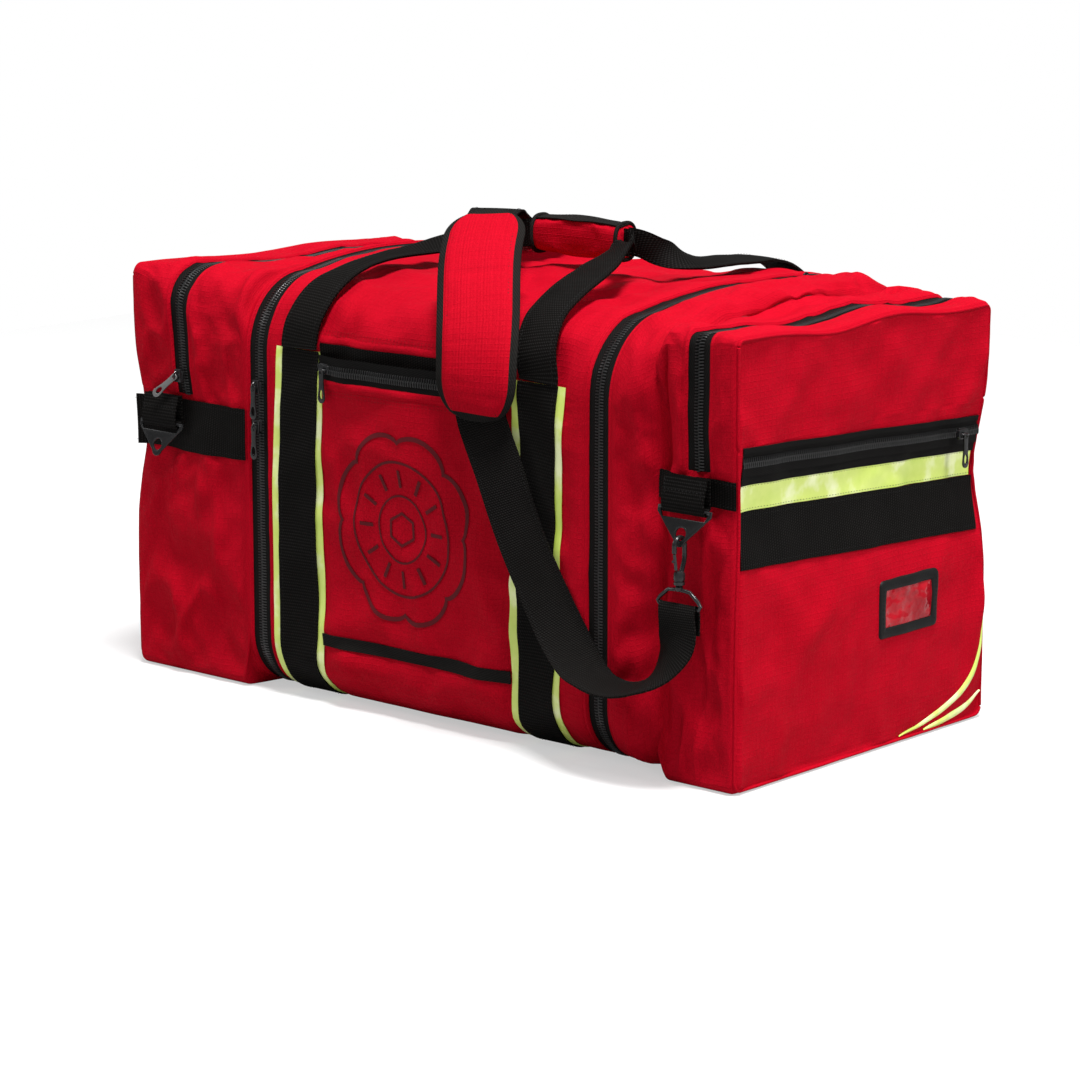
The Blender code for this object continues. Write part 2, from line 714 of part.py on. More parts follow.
def handle_stations(face):
    """One carrying handle, from the left webbing over the grip to the right webbing."""
    rise = [(0.351, 0.1921, (0, -1, 0.0)), (0.372, 0.1868, (0, -0.9, 0.45)),
            (0.397, 0.1650, (0, -0.6, 0.8)), (0.4125, 0.1300, (0, -0.3, 0.95)), (0.4215, 0.0900, (0, -0.1, 1))]
    left = [((-0.152, -y, z), n) for z, y, n in rise]
    right = [((0.150, -y, z), n) for z, y, n in rise]
    left.append(((-0.132, -0.046, 0.4270), (0, 0, 1)))
    left.append(((-0.090, -0.0200, 0.4320), (0.0, -0.7, 0.7)))
    left.append(((-0.045, -0.0080, 0.4420), (0, -1, 0.1)))
    right.append(((0.153, -0.052, 0.4285), (0.1, 0, 1)))
    right.append(((0.130, -0.0145, 0.4420), (0.2, -0.9, 0.3)))
    middle = [((x, -0.0040, 0.4475), (0, -1, 0)) for x in (-0.015, 0.040, 0.104)]
    stations = left + middle + right[::-1]
    return [((x, face * y, z), (n[0], face * n[1], n[2])) for (x, y, z), n in stations]


def make_handles(mats):
    ribbon("handle_front", handle_stations(1), HANDLE, WEB_THICK, mats["web"], steps=2)
    ribbon("handle_rear", handle_stations(-1), HANDLE, WEB_THICK, mats["web"], steps=2)
    low = (GRIP_X[0], -GRIP_HALF, GRIP_Z[0])
    high = (GRIP_X[1], GRIP_HALF, GRIP_Z[1])
    grip = box("grip_wrap", low, high, mats["red"], PARTS, bevel=0.007)
    channel = box_mesh((GRIP_X[0] - 0.01, -0.0095, 0.4312), (GRIP_X[1] + 0.01, 0.0095, 0.4640))
    boolean(grip, cutter_from(channel, "grip_channel"), "DIFFERENCE")


PAD_PATH = [((0.102, -0.2165, 0.306), (0.35, -0.93, 0.05)), ((0.106, -0.2190, 0.352), (0.38, -0.9, 0.18)),
            ((0.094, -0.2030, 0.395), (0.42, -0.75, 0.5)), ((0.055, -0.1570, 0.445), (0.3, -0.55, 0.8)),
            ((0.021, -0.1060, 0.4780), (0.15, -0.35, 0.93))]
LOOP = [((0.146, 0.1975, 0.200), (0, 1, 0)), ((0.182, 0.1995, 0.135), (0, 1, 0)),
        ((0.214, 0.2065, 0.098), (0.1, 1, 0.25)), ((0.256, 0.2140, 0.084), (0.0, 0.9, 0.45)),
        ((0.298, 0.2140, 0.094), (-0.3, 0.9, 0.3)), ((0.324, 0.2100, 0.117), (-0.3, 0.9, 0.1)),
        ((0.332, 0.2075, 0.140), (0, 1, 0)), ((0.332, 0.2056, 0.160), (0, 1, 0))]
FRONT_TOP = [((0.106, -0.1995, 0.292), (0, -1, 0)), ((0.120, -0.1985, 0.258), (0, -1, 0))]
BACK_TOP = [((0.004, -0.0820, 0.4830), (0.1, -0.2, 1)), ((-0.030, -0.0420, 0.4800), (0, 0, 1)),
            ((-0.062, 0.0, 0.4690), (0, 0.1, 1)), ((-0.088, 0.050, 0.4510), (0, 0.35, 0.95)),
            ((-0.106, 0.110, 0.4350), (0, 0.35, 0.95)), ((-0.116, 0.165, 0.4110), (0, 0.8, 0.7)),
            ((-0.122, 0.1965, 0.360), (0, 1, 0.15)), ((-0.130, 0.1975, 0.280), (0, 1, 0))]
FRONT_RUN = FRONT_TOP + [((x, -y, z), (nx, -ny, nz)) for (x, y, z), (nx, ny, nz) in LOOP]
TOP_RUN = BACK_TOP + [((-x, y, z), (-nx, ny, nz)) for (x, y, z), (nx, ny, nz) in LOOP]


def make_strap(mats):
    ribbon("strap_front", FRONT_RUN, STRAP, WEB_THICK, mats["web"])
    ribbon("strap_back", TOP_RUN, STRAP, WEB_THICK, mats["web"])
    pad = ribbon("shoulder_pad", PAD_PATH, PAD, PAD_THICK, mats["red"], steps=4, round_ends=True)
    return pad


def make_materials():
    return {
        "red": material("red_fabric", RED, 0.75),
        "lining": material("black_lining", BLACK, 0.8),
        "web": material("black_webbing", BLACK, 0.7),
        "tape": material("zip_tape", BLACK, 0.8),
        "lime": material("reflective_lime", LIME, 0.35),
        "black_plastic": material("base_board", BLACK, 0.5),
        "vinyl": material("black_vinyl", BLACK, 0.45),
        "clear": material("clear_window", (0.6, 0.05, 0.06), 0.1, 0.0, 0.5),
        "metal": material("black_metal", METAL, 0.35, 0.8),
        "steel": material("grey_metal", STEEL, 0.4, 0.9),
    }


def main():
    mats = make_materials()
    shell = make_main_shell(mats)
    bottom = make_bottom(mats)
    make_webbing(mats, [shell, bottom])
    make_main_zips(mats)
    make_front_pocket(mats)
    for side, word in ((-1, "left"), (1, "right")):
        make_end(side, word, mats)
    make_end_bands(mats)
    make_id_window(mats)
    make_zip_sliders(mats)
    make_hardware(mats)
    make_handles(mats)
    make_strap(mats)


clear_scene()
PARTS = new_collection("fire_gear_bag")
CUTTERS = new_collection("cutters")
main()
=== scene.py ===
"""Looks of the fire-gear duffel: sewn shells, webbing, zips, hardware and a studio."""
import json
import math
from contextlib import contextmanager

import bpy
import bmesh
import numpy as np
from mathutils import Matrix, Vector, noise
from mathutils.bvhtree import BVHTree


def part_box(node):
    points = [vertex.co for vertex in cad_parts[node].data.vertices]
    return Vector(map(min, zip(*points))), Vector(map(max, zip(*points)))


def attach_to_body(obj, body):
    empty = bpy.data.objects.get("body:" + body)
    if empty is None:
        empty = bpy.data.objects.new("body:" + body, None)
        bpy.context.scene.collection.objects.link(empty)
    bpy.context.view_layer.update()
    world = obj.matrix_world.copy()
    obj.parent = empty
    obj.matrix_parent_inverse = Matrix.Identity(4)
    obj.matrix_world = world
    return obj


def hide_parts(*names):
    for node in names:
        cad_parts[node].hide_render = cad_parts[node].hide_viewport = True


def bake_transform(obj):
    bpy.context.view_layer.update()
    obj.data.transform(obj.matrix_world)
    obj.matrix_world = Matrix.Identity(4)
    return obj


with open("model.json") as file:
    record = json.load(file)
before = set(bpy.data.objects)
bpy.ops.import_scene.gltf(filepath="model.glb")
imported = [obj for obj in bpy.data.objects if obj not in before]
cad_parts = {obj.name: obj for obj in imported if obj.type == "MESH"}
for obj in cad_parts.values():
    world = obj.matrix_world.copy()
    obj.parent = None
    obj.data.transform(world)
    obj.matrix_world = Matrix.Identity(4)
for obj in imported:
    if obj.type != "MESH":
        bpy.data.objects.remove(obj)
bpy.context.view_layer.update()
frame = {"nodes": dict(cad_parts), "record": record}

# ------------------------------------------------------------------ dimensions from the frame
WORD = {-1: "left", 1: "right"}
FRONT = (0, -1, 0)
RIGHT = (1, 0, 0)


def middle_x(node):
    """X of the middle of a CAD node's box."""
    return sum(p.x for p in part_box(node)) / 2


MAIN_LOW, MAIN_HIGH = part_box("main_panel")
HALF_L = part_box("right_end_tub")[1].x
HALF_W = MAIN_HIGH.y
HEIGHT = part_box("left_end_flap")[1].z
CROWN = 0.012
BAG_MIDDLE = Vector((0, 0, 0.2))
MAIN_ZIP = {-1: MAIN_LOW.x, 1: MAIN_HIGH.x}
POCKET_ZIP = {-1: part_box("left_pocket_zip")[0].x, 1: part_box("right_pocket_zip")[1].x}
FLAP_FOOT = {-1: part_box("left_end_flap")[0].z, 1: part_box("right_end_flap")[0].z}
ZIP_FOOT = {-1: FLAP_FOOT[-1], 1: 0.285}
WEB_X = {side: middle_x("webbing_" + word) for side, word in WORD.items()}
WEB_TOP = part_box("webbing_left")[1].z
TAPE_HALF = 0.0115
END_SLOPE = 0.05
TOP_ROUND = 0.072
LOW_ROUND = 0.057
STEP = {-1: (0.2180, 0.2270), 1: (0.2975, 0.3035)}
BOX_TOP = {-1: 0.010, 1: 0.006}
ZIP_ARC = {-1: 0.042, 1: 0.014}
BOX_LOW = {-1: 0.010, 1: 0.009}
RIM_ROUND = {-1: 0.006, 1: 0.004}
RIM_KEEP = 0.8


# ------------------------------------------------------------------ camera, light and floor

def make_camera():
    """Long lens from the front right, a little above."""
    data = bpy.data.cameras.new("photo_camera")
    data.lens = 123.46
    data.sensor_width = 36.0
    data.clip_start = 0.05
    cam = bpy.data.objects.new("photo_camera", data)
    cam.location = (2.32205, -2.65014, 0.88163)
    azimuth, elevation = math.radians(41.35), math.radians(11.76)
    look = Vector((-math.sin(azimuth) * math.cos(elevation), math.cos(azimuth) * math.cos(elevation),
                   -math.sin(elevation)))
    cam.rotation_euler = look.to_track_quat("-Z", "Y").to_euler()
    bpy.context.scene.collection.objects.link(cam)
    bpy.context.scene.camera = cam


def make_light(name, where, target, size, power):
    """Square area light that looks at a target."""
    data = bpy.data.lights.new(name, "AREA")
    data.size = size
    data.energy = power
    lamp = bpy.data.objects.new(name, data)
    lamp.location = where
    lamp.rotation_euler = (Vector(target) - Vector(where)).to_track_quat("-Z", "Y").to_euler()
    bpy.context.scene.collection.objects.link(lamp)


def make_world():
    """Soft white surroundings; the camera itself sees plain white."""
    world = bpy.data.worlds.new("studio")
    world.use_nodes = True
    nodes, links = world.node_tree.nodes, world.node_tree.links
    nodes["Background"].inputs["Color"].default_value = (1, 1, 1, 1)
    nodes["Background"].inputs["Strength"].default_value = 0.245
    backdrop = nodes.new("ShaderNodeBackground")
    backdrop.inputs["Color"].default_value = (1, 1, 1, 1)
    mix = nodes.new("ShaderNodeMixShader")
    links.new(nodes.new("ShaderNodeLightPath").outputs["Is Camera Ray"], mix.inputs[0])
    links.new(nodes["Background"].outputs[0], mix.inputs[1])
    links.new(backdrop.outputs[0], mix.inputs[2])
    links.new(mix.outputs[0], nodes["World Output"].inputs["Surface"])
    bpy.context.scene.world = world


def make_floor():
    """Pale floor; its glow evens out the backdrop and lights nothing."""
    bpy.ops.mesh.primitive_plane_add(size=4.4, location=(0, 0, -0.0002))
    floor = bpy.context.object
    floor.name = "floor"
    mat = bpy.data.materials.new("floor_white")
    mat.use_nodes = True
    nodes, links = mat.node_tree.nodes, mat.node_tree.links
    shader = nodes["Principled BSDF"]
    shader.inputs["Base Color"].default_value = (0.42, 0.42, 0.42, 1)
    shader.inputs["Emission Color"].default_value = (1, 1, 1, 1)
    shader.inputs["Roughness"].default_value = 0.9
    glow = nodes.new("ShaderNodeMath")
    glow.operation = "MULTIPLY"
    glow.inputs[1].default_value = 0.50
    links.new(nodes.new("ShaderNodeLightPath").outputs["Is Camera Ray"], glow.inputs[0])
    links.new(glow.outputs[0], shader.inputs["Emission Strength"])
    floor.data.materials.append(mat)


def make_studio():
    """Large key light from above, two small fills, white world and floor."""
    bpy.context.scene.view_settings.view_transform = "Standard"
    make_light("key_top", (1.3, -0.9, 6.0), (0, 0, 0.2), 1.5, 570)
    make_light("fill_right", (2.4, 0.2, 2.0), (0.2, 0, 0.2), 0.7, 39)
    make_light("fill_left", (-1.4, -1.1, 1.1), (-0.3, -0.2, 0.2), 0.6, 6)
    make_world()
    make_floor()


# ------------------------------------------------------------------ materials

class Nodes:
    """Small helper that adds and links shader nodes."""

    def __init__(self, name):
        self.mat = bpy.data.materials.new(name)
        self.mat.use_nodes = True
        self.tree = self.mat.node_tree
        self.shader = self.tree.nodes["Principled BSDF"]

    def add(self, kind, **values):
        """A new node."""
        node = self.tree.nodes.new(kind)
        for key, value in values.items():
            setattr(node, key, value)
        return node

    def link(self, a, b):
        """Join an output to an input."""
        self.tree.links.new(a, b)

    def value(self, socket, value):
        """A number is set on the socket, anything else is linked to it."""
        if isinstance(value, (int, float)):
            socket.default_value = value
        else:
            self.link(value, socket)

    def math(self, operation, a, b=0.0, c=0.0):
        """One math node."""
        node = self.add("ShaderNodeMath", operation=operation)
        for socket, value in zip(node.inputs, (a, b, c)):
            self.value(socket, value)
        return node.outputs[0]

    def uv(self):
        """U across and V along a piece, in metres."""
        node = self.add("ShaderNodeSeparateXYZ")
        self.link(self.add("ShaderNodeUVMap", uv_map="UVMap").outputs[0], node.inputs[0])
        return node.outputs[0], node.outputs[1]

    def noise(self, vector, scale, detail=2.0, rough=0.5):
        """Fractal noise, 0 to 1."""
        node = self.add("ShaderNodeTexNoise")
        node.inputs["Scale"].default_value = scale
        node.inputs["Detail"].default_value = detail
        node.inputs["Roughness"].default_value = rough
        self.link(vector, node.inputs["Vector"])
        return node.outputs["Fac"]

    def position(self):
        """Position in metres."""
        return self.add("ShaderNodeTexCoord").outputs["Object"]

    def wave(self, coordinate, pitch):
        """A 0 to 1 sine along one coordinate in metres."""
        turned = self.math("MULTIPLY", coordinate, 2 * math.pi / pitch)
        return self.math("MULTIPLY_ADD", self.math("SINE", turned), 0.5, 0.5)

    def ramp(self, factor, stops):
        """Colour ramp through (position, colour) stops."""
        node = self.add("ShaderNodeValToRGB")
        ramp = node.color_ramp
        while len(ramp.elements) < len(stops):
            ramp.elements.new(0.5)
        for element, (at, color) in zip(ramp.elements, stops):
            element.position = at
            element.color = (*color, 1)
        self.link(factor, node.inputs[0])
        return node.outputs[0]

    def mix(self, factor, a, b):
        """Blend of two colours."""
        node = self.add("ShaderNodeMix", data_type="RGBA")
        self.value(node.inputs[0], factor)
        for socket, value in ((node.inputs[6], a), (node.inputs[7], b)):
            if isinstance(value, tuple):
                socket.default_value = (*value, 1)
            else:
                self.link(value, socket)
        return node.outputs[2]

    def bump(self, height, strength, distance):
        """Bump of the surface by a height."""
        node = self.add("ShaderNodeBump")
        node.inputs["Strength"].default_value = strength
        node.inputs["Distance"].default_value = distance
        self.link(height, node.inputs["Height"])
        self.link(node.outputs[0], self.shader.inputs["Normal"])

    def set(self, **values):
        """Plain values of the shader; an underscore stands for a space."""
        for key, value in values.items():
            self.shader.inputs[key.replace("_", " ")].default_value = value


def red_fabric(name="red_ripstop", rib=0.0):
    """Coated ripstop nylon: fine plain weave, a reinforcing grid, soft colour drift and lighter specks that
    are painted glints.
    """
    n = Nodes(name)
    u, v = n.uv()
    weave = n.math("MULTIPLY", n.wave(u, 0.0011), n.wave(v, 0.0011))
    rip_u = n.math("POWER", n.wave(u, 0.0052), 14.0)
    rip_v = n.math("POWER", n.wave(v, 0.0052), 14.0)
    rip = n.math("MAXIMUM", rip_u, rip_v)
    where = n.position()
    grain = n.noise(where, 900.0, 3.0, 0.7)
    drift = n.noise(where, 9.0, 4.0, 0.6)
    rub = n.noise(where, 45.0, 5.0, 0.7)
    height = n.math("ADD", n.math("MULTIPLY", weave, 0.5), n.math("MULTIPLY", rip, 0.45))
    height = n.math("ADD", height, n.math("MULTIPLY", grain, 0.5))
    if rib:
        height = n.math("ADD", height, n.math("MULTIPLY", n.wave(u, rib), 0.45))
    n.bump(height, 0.75, 0.00060)
    shade = n.math("ADD", n.math("MULTIPLY", drift, 0.6), n.math("MULTIPLY", rub, 0.4))
    color = n.ramp(shade, [(0.30, (0.350, 0.0005, 0.0070)), (0.70, (0.402, 0.0014, 0.0118))])
    thread = n.math("MULTIPLY", rip, 0.22)
    color = n.mix(thread, color, (0.29, 0.0010, 0.007))
    # Lighter red specks from the fine grain noise: painted glints of the weave.
    color = n.mix(n.math("MULTIPLY", n.math("POWER", grain, 3.0), 1.6), color, (0.66, 0.006, 0.024))
    n.link(color, n.shader.inputs["Base Color"])
    rough = n.math("MULTIPLY_ADD", rub, 0.25, 0.50)
    n.link(rough, n.shader.inputs["Roughness"])
    n.set(Specular_IOR_Level=0.025)
    return n.mat


def webbing(name="black_webbing", pitch=0.0030, lift=1.0, color=(0.0030, 0.0026, 0.0023)):
    """Woven nylon webbing: ribs across, fine twill along, and lighter rib crowns that are a painted
    highlight, patchy by noise.
    """
    n = Nodes(name)
    u, v = n.uv()
    ribs = n.math("POWER", n.wave(v, pitch), 2.0)
    rows = n.wave(n.math("ADD", u, n.math("MULTIPLY", v, 0.5)), 0.0024)
    where = n.position()
    fuzz = n.noise(where, 1500.0, 2.0, 0.8)
    wear_and_sheen = n.noise(where, 35.0, 4.0, 0.7)
    height = n.math("ADD", n.math("MULTIPLY", ribs, 0.8), n.math("MULTIPLY", rows, 0.6))
    height = n.math("ADD", height, n.math("MULTIPLY", fuzz, 0.5))
    n.bump(height, 0.65 * lift, 0.0005)
    pale = tuple(min(1.0, 4.0 * c + 0.016) for c in color)
    # Rib crowns mixed towards the pale colour: a painted highlight on the ribs, patchy by the noise.
    crown = n.math("MULTIPLY", n.math("MULTIPLY", ribs, rows), n.math("MULTIPLY_ADD", wear_and_sheen, 0.9, 0.1))
    n.link(n.mix(crown, color, pale), n.shader.inputs["Base Color"])
    n.link(n.math("MULTIPLY_ADD", wear_and_sheen, 0.22, 0.50), n.shader.inputs["Roughness"])
    n.set(Specular_IOR_Level=0.04)
    return n.mat


def reflective_lime():
    """Glossy lime retroreflective tape with its fine printed cells and soft creases; its pale patches are
    painted highlights and its faint emission is a painted glow.
    """
    n = Nodes("reflective_lime")
    where = n.position()
    u, v = n.uv()
    cell = n.math("MULTIPLY", n.wave(n.math("ADD", u, v), 0.0019), n.wave(n.math("SUBTRACT", u, v), 0.0019))
    drift = n.noise(where, 16.0, 4.0, 0.6)
    # The palest stop gives pale patches: painted highlights on the glossy tape.
    color = n.ramp(drift, [(0.35, (0.56, 0.72, 0.10)), (0.52, (0.68, 0.80, 0.18)),
                           (0.62, (0.90, 0.95, 0.55))])
    color = n.mix(n.math("MULTIPLY", cell, 0.22), color, (0.45, 0.72, 0.05))
    n.link(color, n.shader.inputs["Base Color"])
    n.bump(n.math("ADD", n.math("MULTIPLY", cell, 0.3), n.noise(where, 60.0, 3.0, 0.6)), 0.35, 0.0006)
    n.link(n.math("MULTIPLY_ADD", drift, 0.2, 0.22), n.shader.inputs["Roughness"])
    # The faint lime emission is a painted glow that brightens the tape.
    n.set(Coat_Weight=0.4, Coat_Roughness=0.25, Emission_Strength=0.03)
    n.shader.inputs["Emission Color"].default_value = (0.70, 0.9, 0.16, 1)
    return n.mat


def black_coated_metal(name="black_metal", color=(0.0045, 0.0045, 0.0050), metal=0.0, rough=0.10):
    """Black enamelled zinc: smooth coat, faint orange peel, edges rubbed to grey."""
    n = Nodes(name)
    where = n.position()
    peel = n.noise(where, 1400.0, 2.0, 0.5)
    scratch = n.noise(where, 240.0, 5.0, 0.75)
    edge = n.add("ShaderNodeNewGeometry").outputs["Pointiness"]
    rub = n.math("MULTIPLY", n.ramp(edge, [(0.50, (0, 0, 0)), (0.62, (1, 1, 1))]), scratch)
    grey = tuple(min(1.0, c * 3 + 0.03) for c in color)
    n.link(n.mix(rub, color, grey), n.shader.inputs["Base Color"])
    n.link(n.math("MULTIPLY_ADD", scratch, 0.25, rough), n.shader.inputs["Roughness"])
    n.bump(peel, 0.2, 0.0002)
    n.set(Metallic=metal, Specular_IOR_Level=0.36, Coat_Weight=0.10, Coat_Roughness=0.08)
    return n.mat


def plastic(name, color, rough, grain=700.0, lift=0.35):
    """Moulded or calendered black plastic with a leather-fine grain."""
    n = Nodes(name)
    where = n.position()
    fine = n.noise(where, grain, 3.0, 0.6)
    drift = n.noise(where, 30.0, 3.0, 0.6)
    pale = tuple(min(1.0, c * 1.9 + 0.004) for c in color)
    n.link(n.mix(n.math("MULTIPLY", drift, fine), color, pale), n.shader.inputs["Base Color"])
    n.link(n.math("MULTIPLY_ADD", drift, 0.25, rough), n.shader.inputs["Roughness"])
    n.bump(fine, lift, 0.0004)
    n.set(Specular_IOR_Level=0.2)
    return n.mat


def clear_vinyl():
    """Soft clear window film over the red cloth: glossy, slightly rippled."""
    n = Nodes("clear_vinyl")
    where = n.position()
    ripple = n.noise(where, 38.0, 2.0, 0.4)
    tint = n.ramp(n.noise(where, 20.0, 2.0, 0.5), [(0.3, (0.34, 0.004, 0.012)), (0.7, (0.47, 0.008, 0.018))])
    n.link(tint, n.shader.inputs["Base Color"])
    n.bump(ripple, 1.0, 0.014)
    n.set(Roughness=0.09, Specular_IOR_Level=0.28)
    return n.mat


def make_materials():
    """Every material, by the short name that the pieces use."""
    return {
        "red": red_fabric(),
        "red_pad": red_fabric("red_ripstop_pad", rib=0.0030),
        "web": webbing(),
        "web_grey": webbing("strap_webbing", pitch=0.0021, lift=1.4, color=(0.0042, 0.0037, 0.0033)),
        "binding": webbing("black_binding", pitch=0.0010, lift=0.8, color=(0.0075, 0.0068, 0.0062)),
        "tape": webbing("zip_tape", pitch=0.0009, lift=0.6, color=(0.0045, 0.0042, 0.0040)),
        "coil": black_coated_metal("zip_coil", (0.0060, 0.0060, 0.0060), 0.0, 0.30),
        "lime": reflective_lime(),
        "metal": black_coated_metal(),
        "steel": black_coated_metal("grey_metal", (0.17, 0.17, 0.17), 0.8, 0.38),
        "thread": plastic("dark_red_thread", (0.20, 0.002, 0.006), 0.6),
        "thread_black": plastic("black_thread", (0.010, 0.010, 0.010), 0.7),
        "lining": plastic("black_lining", (0.012, 0.012, 0.013), 0.75, 260.0),
        "board": plastic("base_board_plastic", (0.014, 0.014, 0.015), 0.5, 300.0),
        "vinyl": plastic("black_vinyl", (0.0028, 0.0028, 0.0028), 0.45, 520.0),
        "clear": clear_vinyl(),
        "print": plastic("badge_print", (0.085, 0.0016, 0.005), 0.6, 900.0),
    }


# ------------------------------------------------------------------ mesh helpers

SHARP = math.radians(62)


def link(obj):
    """Put an object in the scene."""
    bpy.context.scene.collection.objects.link(obj)
    return obj


def mesh_object(name, verts, faces, uvs, mats, slots=None):
    """Smooth mesh with UVs for each point; slots gives the material of each face."""
    mesh = bpy.data.meshes.new(name)
    mesh.from_pydata([tuple(v) for v in verts], [], faces)
    layer = mesh.uv_layers.new(name="UVMap")
    uvs = np.asarray(uvs, float)
    index = np.zeros(len(mesh.loops), np.int32)
    mesh.loops.foreach_get("vertex_index", index)
    layer.data.foreach_set("uv", uvs[index].astype(np.float32).ravel())
    for mat in mats:
        mesh.materials.append(mat)
    if slots is not None:
        mesh.polygons.foreach_set("material_index", slots)
    mesh.polygons.foreach_set("use_smooth", [True] * len(mesh.polygons))
    mesh.update()
    return link(bpy.data.objects.new(name, mesh))


def grid_faces(rows, cols, closed=False, keep=None):
    """Faces of a grid of points; keep picks the cells that stay."""
    faces = []
    last = cols if closed else cols - 1
    for i in range(rows - 1):
        for j in range(last):
            k = (j + 1) % cols
            if keep is None or keep(i, j):
                faces.append((i * cols + j, i * cols + k, (i + 1) * cols + k, (i + 1) * cols + j))
    return faces


@contextmanager
def bmesh_of(obj):
    """The object's mesh as a bmesh, written back at the end."""
    bm = bmesh.new()
    bm.from_mesh(obj.data)
    yield bm
    bm.to_mesh(obj.data)
    bm.free()


def clean(obj):
    """Drop loose points, and weld what coincides."""
    with bmesh_of(obj) as bm:
        bmesh.ops.remove_doubles(bm, verts=bm.verts, dist=1e-6)
        loose = [v for v in bm.verts if not v.link_faces]
        bmesh.ops.delete(bm, geom=loose, context="VERTS")
    return obj


def recalc_faces(obj):
    """Consistent normals on a closed form."""
    with bmesh_of(obj) as bm:
        bmesh.ops.recalc_face_normals(bm, faces=bm.faces)


def recalc_out(obj):
    """Consistent normals on an open shell, facing away from the middle of the bag."""
    with bmesh_of(obj) as bm:
        bmesh.ops.recalc_face_normals(bm, faces=bm.faces)
        score = sum(f.normal.dot(f.calc_center_median() - BAG_MIDDLE) * f.calc_area() for f in bm.faces)
        if score < 0:
            bmesh.ops.reverse_faces(bm, faces=bm.faces)


def aim_faces(obj, axis):
    """Turn an open sheet so that its faces look along an axis."""
    if sum(p.normal.dot(Vector(axis)) * p.area for p in obj.data.polygons) < 0:
        with bmesh_of(obj) as bm:
            bmesh.ops.reverse_faces(bm, faces=bm.faces)


def evaluated_mesh(obj):
    """A new mesh with the object's modifiers or curve settings applied."""
    bpy.context.view_layer.update()
    return bpy.data.meshes.new_from_object(obj.evaluated_get(bpy.context.evaluated_depsgraph_get()))


def freeze(obj):
    """Apply all modifiers; edges sharper than SHARP stay sharp."""
    mesh = evaluated_mesh(obj)
    obj.modifiers.clear()
    obj.data = mesh
    mesh.set_sharp_from_angle(angle=SHARP)
    return obj


def subdivide(obj):
    """One level of subdivision, applied."""
    mod = obj.modifiers.new("subsurf", "SUBSURF")
    mod.levels = 1
    mod.render_levels = 1
    return freeze(obj)


def stiffen(obj, thick, offset=-1.0, inner=0):
    """Give a sheet its thickness and smooth it; inner is the material offset of its inner face."""
    mod = obj.modifiers.new("solidify", "SOLIDIFY")
    mod.thickness = thick
    mod.offset = offset
    mod.material_offset = inner
    mod.edge_crease_outer = mod.edge_crease_inner = mod.edge_crease_rim = 1.0
    return subdivide(obj)


def coords(obj):
    """Points of a mesh, as an array."""
    co = np.zeros(len(obj.data.vertices) * 3)
    obj.data.vertices.foreach_get("co", co)
    return co.reshape(-1, 3)


def set_coords(obj, co):
    """Move the points of a mesh."""
    obj.data.vertices.foreach_set("co", np.asarray(co, np.float32).ravel())
    obj.data.update()


def smooth_step(a, b, x):
    """0 up to a, 1 from b, eased between them."""
    t = np.clip((np.asarray(x, float) - a) / (b - a), 0, 1)
    return t * t * (3 - 2 * t)


def bell(x, middle, width):
    """A smooth bump of height 1."""
    return np.exp(-((np.asarray(x, float) - middle) / width) ** 2)


def fractal(points, scale, seed, octaves=3):
    """Signed smooth noise at each point."""
    result = np.zeros(len(points))
    shift = Vector((seed * 7.3, seed * 3.1, seed * 5.7))
    for k, p in enumerate(points):
        result[k] = noise.fractal(Vector(p) * scale + shift, 0.6, 2.0, octaves)
    return result


def settle(obj, pins, grow, pressure, frames, cap, bend=0.6):
    """Cloth pass: slack cloth buckles between its pinned seams; the result is kept within cap."""
    start = coords(obj)
    group = obj.vertex_groups.new(name="pin")
    for k, weight in enumerate(pins):
        if weight > 0:
            group.add([k], float(weight), "REPLACE")
    cloth = obj.modifiers.new("cloth", "CLOTH")
    s = cloth.settings
    s.quality = 5
    s.mass = 0.25
    s.tension_stiffness = 18
    s.compression_stiffness = 18
    s.shear_stiffness = 6
    s.bending_stiffness = bend
    s.air_damping = 2.0
    s.use_pressure = True
    s.uniform_pressure_force = pressure
    s.shrink_min = -grow
    s.vertex_group_mass = "pin"
    s.effector_weights.gravity = 0.0
    cloth.collision_settings.use_collision = False
    cloth.collision_settings.use_self_collision = False
    cloth.point_cache.frame_start = 1
    cloth.point_cache.frame_end = frames
    scene = bpy.context.scene
    for f in range(1, frames + 1):
        scene.frame_set(f)
    evaluated = obj.evaluated_get(bpy.context.evaluated_depsgraph_get())
    end = np.zeros(len(start) * 3)
    evaluated.data.vertices.foreach_get("co", end)
    move = end.reshape(-1, 3) - start
    obj.modifiers.remove(cloth)
    scene.frame_set(1)
    far = np.linalg.norm(move, axis=1, keepdims=True)
    move *= np.minimum(1.0, cap / np.maximum(far, 1e-9))
    free = 1 - np.asarray(pins)[:, None]
    set_coords(obj, start + move * np.clip(free, 0, 1))
    return obj


def attach(obj, body):
    """Ride a body; the pieces of a flap only have their transform baked and ride no body."""
    if not body.endswith("_flap"):
        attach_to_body(obj, body)
        return
    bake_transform(obj)


def belong(obj, slot, body, *nodes):
    """Attach a piece to its body and hide the CAD nodes it stands in for; slot is not used."""
    attach(obj, body)
    if nodes:
        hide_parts(*nodes)
    return obj


# ------------------------------------------------------------------ sewn shells

ARC = 13
FLAT = 32
LOW_ROWS = 30
KNEES = (FLAP_FOOT[-1], ZIP_FOOT[1], 0.2920, 0.2992)
HIGH_ROWS = 12
SIDE = LOW_ROWS + len(KNEES) + HIGH_ROWS
FRONT_FOOT = FLAT // 2 + ARC
ZIP_ROW = {-1: FRONT_FOOT + LOW_ROWS, 1: FRONT_FOOT + LOW_ROWS + 1}
FLAP_ROW = {-1: FRONT_FOOT + LOW_ROWS, 1: FRONT_FOOT + LOW_ROWS + len(KNEES)}


